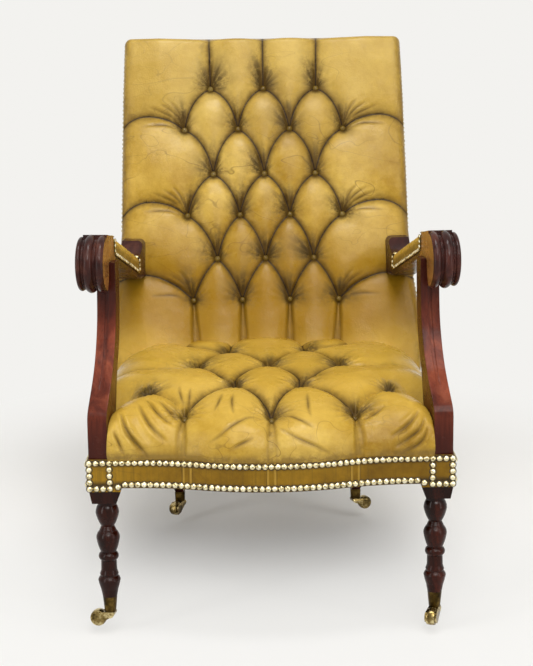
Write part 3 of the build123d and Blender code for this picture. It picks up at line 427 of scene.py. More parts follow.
def brass_material(name, bright, dull, grime, rough, scale=60.0, metal=1.0):
    bright, dull, grime = srgb(*bright), srgb(*dull), srgb(*grime)
    n = Nodes(bpy.data.materials.new(name))
    tarnish = n.noise(scale, 5, 0.62)
    spots = n.noise(scale * 5, 4, 0.7)
    colour = n.ramp(tarnish, [(0.34, grime), (0.5, dull), (0.64, bright)])
    colour = n.over(colour, grime, n.span(spots, 0.56, 0.66), 0.5)
    relief = n.bump(spots, 0.08, 0.0005, n.rounded(0.0008))
    n.fill(n.shader, Base_Color=colour, Metallic=metal, Normal=relief)
    n.fill(n.shader, Roughness=n.span(tarnish, 0.3, 0.7, *rough))
    return n.owner


def cloth_material(name, warp, weft):
    warp, weft = srgb(*warp), srgb(*weft)
    n = Nodes(bpy.data.materials.new(name))
    waves = (n.new("ShaderNodeTexWave", bands_direction=direction) for direction in "XY")
    weave = n.times(*(n.fill(wave, Scale=150, Vector=n.object_place)["Fac"] for wave in waves))
    colour = n.over(weft, warp, weave)
    colour = n.over(colour, n.ramp(n.noise(12.0, 4), [(0.3, weft), (0.7, warp)]), 0.4)
    n.fill(n.shader, Base_Color=colour, Roughness=0.9, Normal=n.bump(weave, 0.5, 0.0006))
    return n.owner


cover_leather = buttoned_leather("leather_buttoned")
panel_leather = plain_leather("leather_panel", 0.8, 0.25)
pad_leather = plain_leather("leather_pad", 0.86, 0.35)
button_leather = plain_leather("leather_button", 0.3, 0.75)
rail_leather = band_leather("leather_band")
# Painted tone of each inward cheek, and the distance from the middle within which it lies
cheek_lights = {"arm": ((156, 106, 52), 0.2990), "support": ((88, 40, 18), 0.2925)}
# Levels where the darkening of the supports' ends starts and is full: old polish and painted shade
ends = (0.40, 0.33), (0.52, 0.62)
reds = (152, 78, 50), (108, 46, 28), (48, 16, 10)
support_wood = wood_material("mahogany_support", 2, *reds, cheek_lights["support"], shaded=ends)
browns = (104, 60, 46), (66, 33, 27), (34, 16, 14)
arm_wood = wood_material("mahogany_arm", 1, *browns, cheek_lights["arm"])
leg_wood = wood_material("mahogany_leg", 2, (90, 33, 15), (44, 12, 4), (16, 4, 0), radius=0.0015)
beech = wood_material("frame_beech", 0, (190, 150, 100), (160, 118, 74), (120, 84, 50), gloss=0.55)
# Colours where it is bright, dull and grimy, and the range of its roughness
metals = {
    "nail_brass": ((244, 236, 208), (226, 214, 172), (128, 110, 66), (0.2, 0.36), 170),
    # Dark rings under the nails: dirt and painted shadow
    "nail_dirt_and_shadow": ((40, 30, 14), (26, 18, 8), (12, 8, 4), (0.6, 0.8), 170, 0),
    "castor_brass": ((216, 200, 150), (134, 114, 68), (44, 34, 14), (0.16, 0.34)),
    "cup_brass": ((112, 90, 44), (70, 54, 24), (32, 24, 10), (0.3, 0.5)),
}
nail_brass, nail_dirt_and_shadow, castor_brass, cup_brass = (
    brass_material(name, *values) for name, values in metals.items()
)
jute = cloth_material("jute_webbing", (190, 160, 110), (130, 100, 62))
canvas = cloth_material("black_canvas", (74, 66, 56), (40, 35, 30))

# The first row with the start of a node's name gives its material, and beech is the rest
finishes = [
    (support_wood, ("arm_support",)),
    (pad_leather, ("arm_pad",)),
    (arm_wood, ("arm",)),
    (leg_wood, ("front_leg", "rear_post")),
    (jute, ("seat_webbing", "back_webbing")),
    (canvas, ("seat_deck", "dust_cover")),
    (rail_leather, ("front_band", "side_band", "rear_band")),
    (panel_leather, ("outside_back", "back_cushion", "seat_cushion")),
    (button_leather, ("back_buttons", "seat_buttons")),
    (cup_brass, ("castor_cup",)),
    (castor_brass, ("castor",)),
]
for name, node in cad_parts.items():
    node.data.materials.clear()
    node.data.materials.append(next((m for m, starts in finishes if name.startswith(starts)), beech))

# Buttoned leather


REACH = 120  # distance to which a crease acts on the leather
FADE = (60, 118)  # its pull dies away between these
NO_FOLD = 30.0  # distance given where no fold is near
SNAP = 0.6  # share of a step within which points move onto a crease
RUB_WIDTH = 9.0
DIMPLE_DEPTH, DIMPLE_RADIUS = 3.6, 8.0
SHADOW_RING_RADIUS = 11.5  # painted shadow round a button
GATHERS, STREAKS = 15, 37  # waves round a button
GATHER_PLACE, GATHER_WIDTH = 22, 16
SMUDGE = (13, 26, 12)  # a smudge's reach beside, above and below
WEAR = (27, 44, 22)  # the same for the grey wear round it
LIFT = 8  # both lie this far above the button
# Ranges of what differs between buttons
LEAST, MOST = (0, -0.3, 0.7, 0.7, 0.7, 0.7), (6, 0.3, 1.3, 1.2, 1.5, 1.5)


def cloud(across, up, beside, above, below):
    """1 in the middle and less outwards, with its own reach beside, above and below."""
    return np.exp(-((across / beside) ** 2) - (up / np.where(up > 0, above, below)) ** 2)


class Tufting:
    """Depth, patina and painted shadow of buttoned leather over a flat pattern, in millimetres."""

    def __init__(self, depth, length, bulge, gather, spread):
        self.depth = depth
        self.gather = gather
        self.spread = spread
        self.length = length
        self.bulge = bulge
        self.buttons = []
        self.creases = []
        self.wrinkles = []

    def crease(self, points, start_depth, end_depth, middle_depth, strength=1.0, drawn=True):
        line, along = smooth_curve(points, 18)
        t = along / along[-1]
        level = start_depth * (1 - t) ** 2 + end_depth * t**2 + middle_depth * 2 * t * (1 - t)
        self.creases.append((line, level, strength, drawn))

    def wrinkle(self, points, depth=1.5, width=6.0):
        """A narrow pull line that fades out at both ends."""
        line, along = smooth_curve(points, 12)
        self.wrinkles.append((line, np.sin(math.pi * along / along[-1]) ** 0.7, depth, width))

    def pleat(self, points, start_depth, end_depth, middle_depth):
        """A flat pleat: a soft valley between two lines."""
        self.crease(points, start_depth, end_depth, middle_depth, 0.5, False)
        for apart in (-1, 1):
            beside = [(x + apart * min(6.5, 2 + k * 2.5), y) for k, (x, y) in enumerate(points)]
            line, along = smooth_curve(beside, 16)
            self.wrinkles.append((line, np.linspace(1, 0.4, len(along)), 2.2, 6.0))

    def arch(self, upper, lower, across, down, share=0.42, drawn=True):
        """A fold leaves the upper button sideways and comes down steeply on the lower one."""
        (x0, y0), (x1, y1) = upper, lower
        corner = (x0 + (x1 - x0) * across, y0 - (y0 - y1) * down)
        ends = list(zip(upper, corner, lower))
        points = [
            tuple((1 - t) ** 2 * a + 2 * t * (1 - t) * c + t**2 * b for a, c, b in ends)
            for t in np.linspace(0, 1, 9)
        ]
        strength = 1.0 if drawn else 0.4
        self.crease(points, self.depth, self.depth, self.depth * share, strength, drawn)

    def distances(self, lines, px, py, reach):
        """For each line, the points near it, how far off they lie, and its level and place there."""
        for line, levels, *rest in lines:
            low, high = line.min(axis=0) - reach, line.max(axis=0) + reach
            keep = np.where((px > low[0]) & (px < high[0]) & (py > low[1]) & (py < high[1]))[0]
            if not len(keep):
                continue
            qx, qy = px[keep], py[keep]
            found = np.full((4, len(keep)), 1e9)
            for (ax, ay), (bx, by), da, db in zip(line[:-1], line[1:], levels[:-1], levels[1:]):
                ex, ey = bx - ax, by - ay
                t = np.clip(((qx - ax) * ex + (qy - ay) * ey) / (ex * ex + ey * ey), 0, 1)
                d = np.hypot(qx - ax - ex * t, qy - ay - ey * t)
                here = np.array([d, da + (db - da) * t, ax + ex * t, ay + ey * t])
                found = np.where(d < found[0], here, found)
            yield keep, *found, rest

    def snapped(self, x, y, step, allowed):
        """Pattern points near a drawn crease move onto it, so that folds run clean."""
        px, py = x.ravel().copy(), y.ravel().copy()
        near = np.full(len(px), SNAP * step)
        tx, ty = px.copy(), py.copy()
        drawn = [crease for crease in self.creases if crease[3]]
        for keep, best, _, fx, fy, _ in self.distances(drawn, px, py, 3 * step):
            closer = best < near[keep]
            at = keep[closer]
            near[at], tx[at], ty[at] = best[closer], fx[closer], fy[closer]
        allowed = allowed.ravel()
        moved = np.where(allowed, tx, px), np.where(allowed, ty, py)
        return tuple(values.reshape(x.shape) for values in moved)

    def solve(self, x, y):
        """Height, patina, smudge with its painted shadow rings, and distance to a fold at every point
        of the pattern.
        """
        px, py = x.ravel(), y.ravel()
        weight, level = np.zeros(len(px)), np.zeros(len(px))
        near = np.full(len(px), NO_FOLD)
        beside = np.full(len(px), NO_FOLD)
        creases = self.distances(self.creases, px, py, REACH)
        for keep, best, depth, _, _, (strength, drawn) in creases:
            w = strength * (1 - smooth_step(best, *FADE)) / (best + 0.35) ** 3
            weight[keep] += w
            level[keep] += w * depth
            beside[keep] = np.minimum(beside[keep], best if drawn else best + 5)
            if drawn:
                near[keep] = np.minimum(near[keep], best)
        level = level / np.maximum(weight, 1e-12)
        spread = 1 / np.maximum(weight, 1e-7) ** (1 / 3)
        rise = 1 - np.exp(-((spread / self.length) ** 0.88))
        height = -level * (1 - rise) + self.bulge * (1 - np.exp(-spread / (4.0 * self.length)))
        grey = 0.85 * np.exp(-((beside / RUB_WIDTH) ** 1.1))
        wrinkles = self.distances(self.wrinkles, px, py, NO_FOLD)
        for keep, best, fade, _, _, (depth, width) in wrinkles:
            groove = fade * np.exp(-((best / (width * 0.38)) ** 1.4))
            ridge = fade * bump_at(best, width, width * 0.6)
            height[keep] += depth * (0.35 * ridge - groove)
            near[keep] = np.minimum(near[keep], best * 1.3 + 0.8 + 8 * (1 - fade))
            grey[keep] = np.maximum(grey[keep], 0.5 * fade * bump_at(best, 0, width * 0.45))
        smudge_and_shadow = np.zeros(len(px))
        rng = np.random.default_rng(len(self.buttons))
        for bx, by in self.buttons:
            rx, ry = px - bx, py - by
            r, angle = np.hypot(rx, ry), np.arctan2(rx, ry)
            phase, lean, tall, dark, left, right = rng.uniform(LEAST, MOST)
            height -= DIMPLE_DEPTH * bump_at(r, 0, DIMPLE_RADIUS)
            # Gathers run out from the button, with dirt between them
            wave = np.sin(angle * GATHERS + phase)
            reach = bump_at(r, GATHER_PLACE, GATHER_WIDTH) * bump_at(angle, 0, self.spread)
            height += self.gather * wave * reach
            streak = 1.0 - 0.3 * wave + 0.2 * np.sin(angle * STREAKS + phase)
            side = np.where(rx > 0, right, left)
            # Smudges and wear lean, and differ in height and on each side
            inner, outer = (
                cloud(rx - lean * ry, ry - LIFT, beside * side, above * tall, below)
                for beside, above, below in (SMUDGE, WEAR)
            )
            smudge_and_shadow = np.maximum(smudge_and_shadow, 1.15 * dark * inner * streak)
            # A painted shadow ring round each button
            smudge_and_shadow = np.maximum(smudge_and_shadow, np.exp(-((r / SHADOW_RING_RADIUS) ** 4)))
            grey = np.maximum(grey, 1.2 * outer * (0.5 + 0.5 * streak))
            grey = np.maximum(grey, -0.6 * wave * reach)
        maps = height, np.clip(grey, 0, 1), np.clip(smudge_and_shadow, 0, 1), near
        return tuple(values.reshape(x.shape) for values in maps)


def dome(centre, normal, radius, height, spin, rings=4, segments=14):
    """Vertices and faces of a low round head that stands on a surface."""
    normal = np.asarray(normal, float) / np.linalg.norm(normal)
    side = np.cross(normal, (0.31, 0.17, 0.93))
    side /= np.linalg.norm(side)
    other = np.cross(normal, side)
    turn = 2 * math.pi * np.arange(segments) / segments + spin
    verts = []
    for angle in np.linspace(0, math.pi / 2, rings, endpoint=False):
        around = np.outer(np.cos(turn), side) + np.outer(np.sin(turn), other)
        verts += list(centre + radius * math.cos(angle) * around + normal * height * math.sin(angle))
    verts.append(centre + normal * height)
    faces = grid_faces(rings, segments, closed=True)
    last = (rings - 1) * segments
    faces += [(last + k, last + (k + 1) % segments, len(verts) - 1) for k in range(segments)]
    return verts, faces


def domes_object(name, heads, radius, height, material, wobble=0.0):
    rng = np.random.default_rng(len(heads) * 7 + 3)
    verts, faces = [], []
    for centre, normal in heads:
        tilt = np.asarray(normal, float) + rng.normal(0, wobble, 3)
        part, part_faces = dome(np.asarray(centre, float), tilt, radius, height, rng.uniform(0, 1))
        start = len(verts)
        verts += part
        faces += [tuple(start + k for k in face) for face in part_faces]
    return make_object(name, verts, faces, material)


def nails(name, heads, radius=5.45, height=4.3):
    """Round-headed nails, each on a dark ring of dirt and painted shadow."""
    domes_object(name, heads, radius, height, nail_brass, 0.06)
    domes_object(name + "_rings", heads, radius * 1.2, 0.7, nail_dirt_and_shadow)


# Back

RECLINE = math.radians(20)
BACK_LOW, BACK_TOP = 330.0, 1049.0
BACK_DEPTH = 17.0
PATTERN_HALF = 300.0
SIDE_ROLL, TOP_ROLL = 15.0, 13.0
SIDE_WRAP, TOP_WRAP = 46.0, 60.0
DRAW_IN = 45.0
STEP = 2.1
RAKE_Y, RAKE_Z = 540, 652  # a point in the face of the back
outward = np.array([0.0, -math.cos(RECLINE), math.sin(RECLINE)])


def back_y(z):
    return RAKE_Y + (z - RAKE_Z) * math.tan(RECLINE)


def back_half(z):
    levels = [315, 440, 509, 562, 656, 797, 920, 1049]
    return np.interp(z, levels, [308, 319, 313, 305, 298, 296.5, 295, 291])


def back_rear_y(z):
    return 595 + 166 * (z - 312) / (1030 - 312)


def panel_half(z):
    """Half the width of the outside back, to which the leather of the sides draws in."""
    return np.interp(z, [315, 440, 1037], [261.5, 277.5, 292.5])


def back_crown(x, z):
    """How far the stuffing stands out between the edges."""
    return 12 * (1 - np.abs(x / back_half(z)) ** 2.2) * smooth_step(z, 420, 600) + 1


back_rows = [
    (945, (-111, 0, 111)),
    (862, (-166, -54, 54, 166)),
    (771, (-106.5, 0, 106.5)),
    (688, (-161, -52, 52, 161)),
    (601, (-99.5, 0, 99.5)),
    (520, (-149.5, -49, 49, 149.5)),
]
back = Tufting(BACK_DEPTH, 16.0, 13.0, 1.3, 1.2)
for z, places in back_rows:
    back.buttons += [(x, z) for x in places]
# The folds are round at the top of the back and straighter towards the seat
swells = (0.28, 0.26, 0.24, 0.20, 0.14)
for (z0, upper), (z1, lower), swell in zip(back_rows, back_rows[1:], swells):
    for x0 in upper:
        for x1 in lower:
            if abs(x0 - x1) < 82:
                back.arch((x0, z0), (x1, z1), 0.5 + swell, 0.5 - swell)
for x in back_rows[0][1]:
    back.crease([(x * 1.02, 1075), (x * 1.02, 1049), (x * 1.01, 1000), (x, 945)], 2, BACK_DEPTH, 7)
# Folds from the outer buttons to the sides
side_folds = [(34, 20), (78, 28), (112, 19), (140, -6), (160, -40)]
low_folds = [(35, 28), (75, 46), (112, 50), (150, 40), (180, 25)]
for row, folds, end in ((1, side_folds, 1), (3, side_folds, 1), (5, low_folds, 4)):
    z, places = back_rows[row]
    for side in (-1, 1):
        points = [(side * (places[-1] + across), z + up) for across, up in [(0, 0)] + folds]
        back.crease(points, BACK_DEPTH, end, 8)
for x in back_rows[5][1]:
    back.pleat([(x, 520), (x * 0.98, 470), (x * 0.96, 420), (x * 0.95, 330)], BACK_DEPTH, 1, 4)
# Pull lines run outwards from the outer buttons, and upwards from the others
for x, z in back.buttons[3:]:
    side = math.copysign(1, x)
    if abs(x) > 140:
        for out, up in ((30, 56), (52, 52), (76, 46)):
            middle = (x + side * out * 0.42, z + up * 0.62)
            back.wrinkle([(x + side * 3, z + 8), middle, (x + side * out, z + up)], 1.4, 6.0)
        back.wrinkle([(x + side * 8, z - 4), (x + side * 40, z + 8), (x + side * 90, z + 6)], 0.9, 6.0)
    elif z < 900:
        back.wrinkle([(x - 4, z + 6), (x - 9, z + 26), (x - 9, z + 46)], 1.2, 5.0)
        back.wrinkle([(x + 4, z + 6), (x + 9, z + 24), (x + 14, z + 42)], 1.2, 5.0)


def wrapped(width, radius, depth):
    """Places across a padded face that rolls over its edge: offset, setback and turn."""
    flat = width - radius
    arc = radius * math.pi / 2
    total = flat + arc + depth - radius
    along = np.linspace(0, total, int(total / STEP) + 1)
    turn = np.clip((along - flat) / radius, 0, math.pi / 2)
    offset = np.minimum(along, flat) + radius * np.sin(turn)
    setback = radius * (1 - np.cos(turn)) + np.maximum(0, along - flat - arc)
    return offset, setback, turn


def build_back():
    offset, setback, turn = wrapped(PATTERN_HALF, SIDE_ROLL, SIDE_WRAP)
    share = np.r_[-offset[:0:-1], offset] / PATTERN_HALF
    setback_a, turn_a = np.r_[setback[:0:-1], setback], np.r_[turn[:0:-1], turn]
    up_offset, up_setback, up_turn = wrapped(BACK_TOP - BACK_LOW, TOP_ROLL, TOP_WRAP)
    share_g, z_g = np.meshgrid(share, BACK_LOW + up_offset)
    setback_ag, setback_bg = np.meshgrid(setback_a, up_setback)
    turn_ag, turn_bg = np.meshgrid(turn_a, up_turn)
    corner = (np.sin(turn_ag) * np.sin(turn_bg)) ** 2
    x = share_g * back_half(z_g)
    x = x - np.sign(x) * corner * 5
    flat = (turn_ag == 0) & (turn_bg == 0)
    x, z_g = back.snapped(x, z_g, STEP, flat)
    z = z_g - corner * 4
    over_top = TOP_ROLL * 0.4 * turn_bg / (math.pi / 2)
    pattern_z = z_g + np.maximum(0, setback_bg - TOP_ROLL) + over_top
    pattern_x = x + np.sign(x) * np.maximum(0, setback_ag - SIDE_ROLL * 0.5)
    height, grey, smudge_and_shadow, fold = back.solve(pattern_x, pattern_z)
    # The sides and the top run back to the outside back, and the sides draw in to it
    thick = (back_rear_y(z_g) - back_y(z_g)) * math.cos(RECLINE)
    stretch = (thick - SIDE_WRAP) / (SIDE_WRAP - SIDE_ROLL)
    side_depth = setback_ag + np.maximum(0, setback_ag - SIDE_ROLL) * stretch
    setback = np.minimum(side_depth + setback_bg * 1.25, thick)
    inward = np.clip((side_depth - DRAW_IN) / (thick - DRAW_IN), 0, 1) * (setback_ag > SIDE_ROLL)
    inward = inward * np.minimum(0, panel_half(z_g) - back_half(z_g))
    fade = np.cos(turn_ag) * np.cos(turn_bg)
    over = 1 - smooth_step(setback_ag + setback_bg, SIDE_ROLL, SIDE_ROLL + 26)
    puff = height * np.maximum(fade, 0.6 * np.clip(0.25 + 0.75 * fade, 0, 1) * over)
    depth = setback - (back_crown(x, z_g) * fade + puff * np.clip(fade + 0.3, 0, 1))
    lean = depth * math.sin(RECLINE) * np.clip(fade + 0.15, 0, 1)
    points = np.stack(
        [
            x + np.sign(x) * (puff * np.sin(turn_ag) * 0.35 + inward),
            back_y(z) + depth * math.cos(RECLINE),
            z - lean + puff * np.sin(turn_bg) * 0.5,
        ],
        axis=2,
    )
    # The rear edge of the cover lies against the outside back
    points[:, :, 1] = np.minimum(points[:, :, 1], back_rear_y(points[:, :, 2]) - 1)
    edge = smooth_step(np.abs(x), back_half(z_g) - 26, back_half(z_g) - 2) * 0.8
    edge = np.maximum(edge, 0.5 * smooth_step(z_g, BACK_TOP - 14, BACK_TOP))
    smudge_and_shadow = smudge_and_shadow * np.clip(fade + 0.2, 0, 1)
    cover = cover_object("back_cover", points, grey, smudge_and_shadow, fold, edge)
    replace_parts(cover, "back_cushion")


build_back()
heads = []
for x, z in back.buttons:
    sink = BACK_DEPTH + 0.6 - back_crown(x, np.array(float(z)))
    heads.append((np.array([x, back_y(z), z]) - outward * sink, outward))
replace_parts(domes_object("back_covered_buttons", heads, 6.6, 5.6, button_leather), "back_buttons")

# Seat frame in plan

HALF_WIDTH = 321.0
BLOCK_FACE = 3.0
BOW, BOW_SPAN = 39.0, 250.0
BOW_RADIUS = (BOW_SPAN**2 + BOW**2) / (4 * BOW)
BEND_START, BEND_RADIUS = 240.0, 760.0
BAND_OUT = 3  # the bands' outer face


def front_edge(x, outset=0.0):
    """The serpentine front, moved outward by outset."""
    x = np.abs(np.asarray(x, float))
    inside = np.minimum(x, BOW_SPAN)
    bowed = BLOCK_FACE - BOW + BOW_RADIUS - np.sqrt((BOW_RADIUS + outset) ** 2 - inside**2)
    hollow = BLOCK_FACE - BOW_RADIUS + np.sqrt((BOW_RADIUS - outset) ** 2 - (BOW_SPAN - inside) ** 2)
    return np.where(x < BOW_SPAN / 2, bowed, hollow)


def side_edge(y, outset=0.0):
    """The side of the seat frame, moved outward by outset."""
    past = np.maximum(np.asarray(y, float) - BEND_START, 0)
    return HALF_WIDTH - BEND_RADIUS + np.sqrt((BEND_RADIUS + outset) ** 2 - past**2)


# Seat

SEAT_BASE, SEAT_LOW = 315.2, 306.0
CROWN = 124.0
SEAT_DEPTH = 23.0
SEAT_FRONT = BLOCK_FACE - BOW + 1
SEAT_LENGTH = float(back_y(SEAT_BASE + CROWN)) - SEAT_FRONT
SEAT_SPAN = 300
MIDDLE_RISE = 1.06
BLEND = 5  # how tightly the side and front profiles join
PROFILE_STEPS = 400
# Shares of the seat's length and rise from the front, and of its half width and rise
side_shares = [(0.0, 0.10), (0.010, 0.25), (0.034, 0.42), (0.092, 0.58), (0.160, 0.68)]
side_shares += [(0.288, 0.80), (0.409, 0.865), (0.664, 0.95), (0.930, 1.00), (1.020, 1.00)]
half_shares = [(0, MIDDLE_RISE), (0.24, 1.05), (0.48, 1.02), (0.73, 0.93), (0.87, 0.76)]
half_shares += [(0.945, 0.55), (0.985, 0.32), (1.0, 0.0), (1.0, -0.02)]
side_profile, side_along = smooth_curve(
    [(SEAT_FRONT - 1, SEAT_BASE - 2)]
    + [(SEAT_FRONT + back * SEAT_LENGTH, SEAT_BASE + rise * CROWN) for back, rise in side_shares],
    PROFILE_STEPS,
)
half_profile, _ = smooth_curve(half_shares, PROFILE_STEPS)
half_along = run_lengths(half_profile * (SEAT_SPAN, CROWN))


def support_inner(y):
    """The inner faces of the arm supports."""
    return 286.4 - 0.112 * y


def seat_half(y):
    """Half width of the seat: inside the arm supports, then out over the side rails."""
    inside = support_inner(y)
    return inside + (side_edge(y, -2) - inside) * smooth_step(y, 148, 200)


def seat_surface(a, s):
    """Smooth form of the seat under its tufting, from places across and along its cover."""
    share = np.sign(a) * np.interp(np.abs(a), half_along, half_profile[:, 0])
    side = np.interp(np.abs(a), half_along, half_profile[:, 1])
    y = np.interp(s, side_along, side_profile[:, 0])
    front = (np.interp(s, side_along, side_profile[:, 1]) - SEAT_BASE) / CROWN
    x = share * seat_half(y)
    y = y + (front_edge(x) - front_edge(0)) * (1 - smooth_step(y, -36, 190))
    top, flank = np.maximum(front, 0.0005), np.maximum(side, 0.0005)
    crown = (1 + MIDDLE_RISE**-BLEND) ** (-1 / BLEND)
    both = (top**-BLEND + flank**-BLEND) ** (-1 / BLEND) / crown
    both = np.minimum(both, top * 1.02 + 0.02)
    z = SEAT_BASE + CROWN * np.where(front > 0, both, front)
    z = np.where(side < 0, np.minimum(z, SEAT_BASE + CROWN * side), z)
    return np.stack([x, y, z], axis=-1)


def seat_normal(a, s, apart=1.5):
    across = seat_surface(a + apart, s) - seat_surface(a - apart, s)
    along = seat_surface(a, s + apart) - seat_surface(a, s - apart)
    normal = np.cross(across, along)
    return normal / np.maximum(np.linalg.norm(normal, axis=-1, keepdims=True), 1e-9)


# Places on the seat's pattern: millimetres across from its middle, and along from the band
seat = Tufting(SEAT_DEPTH, 16.0, 12.0, 2.8, 2.4)
seat_rows = [
    [(-163, 96), (2, 101), (161, 94)],
    [(-246, 192), (-70, 236), (63, 234), (244, 192)],
    [(-131, 362), (1, 366), (133, 364)],
    [(-78, 478), (76, 486)],
]
for row in seat_rows:
    seat.buttons += row
for front_row, rear_row in zip(seat_rows, seat_rows[1:]):
    for lower in front_row:
        for upper in rear_row:
            if abs(upper[0] - lower[0]) < 100:
                # The outer arches of the front are soft
                soft = abs(upper[0]) > 200 and abs(lower[0]) > 150
                seat.arch(upper, lower, 0.72, 0.20, 0.0 if soft else 0.42, not soft)
for x, s in seat_rows[0]:
    seat.pleat([(x, s), (x, s * 0.7), (x, s * 0.35), (x, -5)], SEAT_DEPTH, 1, 3)
for points in [
    [(-246, 192), (-264, 184), (-295, 206), (-335, 236)],
    [(244, 192), (266, 196), (294, 212), (335, 236)],
    [(-131, 362), (-155, 352), (-190, 346), (-240, 356), (-300, 350)],
    [(133, 364), (160, 356), (196, 356), (240, 366), (300, 356)],
    [(-78, 478), (-116, 504), (-162, 530), (-198, 575)],
    [(76, 486), (116, 508), (162, 530), (198, 575)],
]:
    seat.crease(points, SEAT_DEPTH, 3, 10)
for x, s in seat_rows[3]:
    seat.crease([(x, s), (x * 0.98, s + 40), (x * 0.96, s + 100)], SEAT_DEPTH, 6, 12)
# Folds in the front corners
for points in [
    [(-309, 50), (-291, 34), (-271, 11)],
    [(-281, 56), (-260, 38), (-235, 20), (-219, 5)],
    [(-290, 84), (-273, 56), (-247, 31), (-228, 14)],
    [(-252, 112), (-236, 82), (-221, 60), (-206, 46), (-187, 32)],
    [(-240, 136), (-232, 123), (-214, 95), (-194, 75), (-177, 65)],
    [(-213, 134), (-197, 111), (-179, 88), (-165, 76)],
    [(306, 48), (290, 30), (263, 17), (235, 8)],
    [(300, 64), (285, 48), (268, 38), (246, 27), (222, 18)],
    [(285, 77), (264, 59), (240, 45), (217, 34)],
    [(215, 101), (200, 88), (183, 79), (167, 74)],
]:
    seat.wrinkle(points, 4.6, 8.0)
# Pull lines
for points in [
    [(-10, 90), (-36, 89), (-58, 74), (-87, 49), (-112, 33)],
    [(12, 89), (31, 93), (55, 76), (80, 55)],
    [(9, 70), (30, 53), (53, 40), (83, 26), (110, 13)],
    [(-28, 47), (-51, 35), (-75, 23)],
    [(-181, 198), (-173, 159), (-161, 119)],
    [(-157, 195), (-156, 152), (-156, 113)],
    [(-92, 166), (-97, 129), (-104, 96)],
    [(-71, 169), (-72, 130), (-68, 91)],
    [(72, 165), (71, 125), (71, 99), (75, 81)],
    [(-16, 190), (-14, 155), (-7, 116)],
    [(12, 186), (11, 154), (6, 112)],
]:
    seat.wrinkle(points, 1.3, 6.0)


def build_seat():
    width, length = half_along[-1], side_along[-1]
    across = np.linspace(-width, width, int(2 * width / STEP) + 1)
    a, s = np.meshgrid(across, np.linspace(0, length, int(length / STEP) + 1))
    inner = (np.abs(a) < width - 30) & (s > 6) & (s < length - 6)
    a, s = seat.snapped(a, s, STEP, inner)
    height, grey, smudge_and_shadow, fold = seat.solve(a, s)
    inset = width - np.abs(a)
    height = height * smooth_step(inset, 4, 40) * (0.25 + 0.75 * smooth_step(s, 0, 16))
    points = seat_surface(a, s) + seat_normal(a, s) * height[:, :, None]
    # The sides stay inside the arm supports
    y = points[:, :, 1]
    limit = support_inner(y) + 130 * smooth_step(y, 146, 230)
    points[:, :, 0] = np.clip(points[:, :, 0], -limit, limit)
    points[:, :, 2] = np.maximum(points[:, :, 2], SEAT_LOW)
    # Painted shade where the seat meets the band in front and towards its sides
    dirt_and_shade = 1.5 * np.exp(-np.maximum(s - 6, 0) / 8) + 0.5 * (1 - smooth_step(inset, 10, 60))
    cover = cover_object("seat_cover", points, grey, smudge_and_shadow * 0.7, fold, np.clip(dirt_and_shade, 0, 1))
    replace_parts(cover, "seat_cushion")


build_seat()
heads = []
for a, s in seat.buttons:
    a, s = np.array(a), np.array(s)
    normal = seat_normal(a, s)
    heads.append((seat_surface(a, s) - normal * (SEAT_DEPTH - 2.5), normal))
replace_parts(domes_object("seat_covered_buttons", heads, 7.0, 5.4, button_leather), "seat_buttons")

# Arm pads

ARM_TOE = 0.09
ARM_INNER_X = 294.2
PAD_FRONT, PAD_REAR = 165.0, 440.0
PAD_DROP = 75.0 / (PAD_REAR - PAD_FRONT)
PAD_TOP, PAD_HEIGHT = 692.0, 33.0
PAD_IN, PAD_OUT = -1.4, 44.4
PAD_ROUND = 9.0
SQUARENESS = 0.34
END_NAILS = (7.5, 16.5, 25.5)
TRIM_PITCH, TRIM_RISE = 12.4, 2.6
SMALL_NAIL, TRIM_NAIL = (4.3, 2.6), (3.7, 2.4)


def arm_point(back, rise, out, side):
    """A place along, above and across the arm, which toes in towards the back."""
    scale = math.hypot(1, ARM_TOE)
    x = ARM_INNER_X + (out - back * ARM_TOE) / scale
    return np.stack(np.broadcast_arrays(side * x, (back + out * ARM_TOE) / scale, rise), axis=-1)


def pad_top(back):
    return PAD_TOP - (back - PAD_FRONT) * PAD_DROP


def build_pad(name, node, side):
    """A stuffed pad with a rounded top, drawn down along its nailed edges."""
    around, rows = 44, 90
    turn = np.linspace(0, math.pi, around)
    middle, half = (PAD_IN + PAD_OUT) / 2, (PAD_OUT - PAD_IN) / 2
    flat = np.sign(np.cos(turn)) * np.abs(np.cos(turn)) ** SQUARENESS
    crown = np.sin(turn) ** SQUARENESS
    points = []
    for back in np.linspace(PAD_FRONT + 0.4, PAD_REAR - 0.4, rows):
        ends = min(back - PAD_FRONT, PAD_REAR - back)
        round_off = math.sqrt(max(0.0, 1 - (1 - min(ends, PAD_ROUND) / PAD_ROUND) ** 2))
        low = pad_top(back) - PAD_HEIGHT
        ripple = 0.35 * math.sin(back / 9.0) * math.sin(back / 23.0)
        body = (PAD_HEIGHT - 2 + ripple) * (0.90 + 0.10 * round_off)
        rise = low + crown * (body + 2.0 * np.sin(turn) * round_off)
        # The sides draw in above the trimmed lower edge
        waist = 0.8 * bump_at(rise - low, 9, 6)
        out = middle - (half - waist) * flat * (0.97 + 0.03 * round_off)
        points.append(arm_point(back, rise, out, side))
    points = np.array(points)
    rim = np.exp(-((np.arange(around) / 3.0) ** 2))
    rim = np.broadcast_to(np.maximum(rim, rim[::-1]), (rows, around))
    ends = np.minimum(np.arange(rows), rows - 1 - np.arange(rows))
    edge = np.clip(rim + 0.8 * np.exp(-((ends / 3.0) ** 2))[:, None], 0, 1)
    zero = np.zeros_like(edge)
    cover = cover_object(name, points, edge * 0.5, zero, zero + NO_FOLD, edge)
    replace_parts(cover, node)


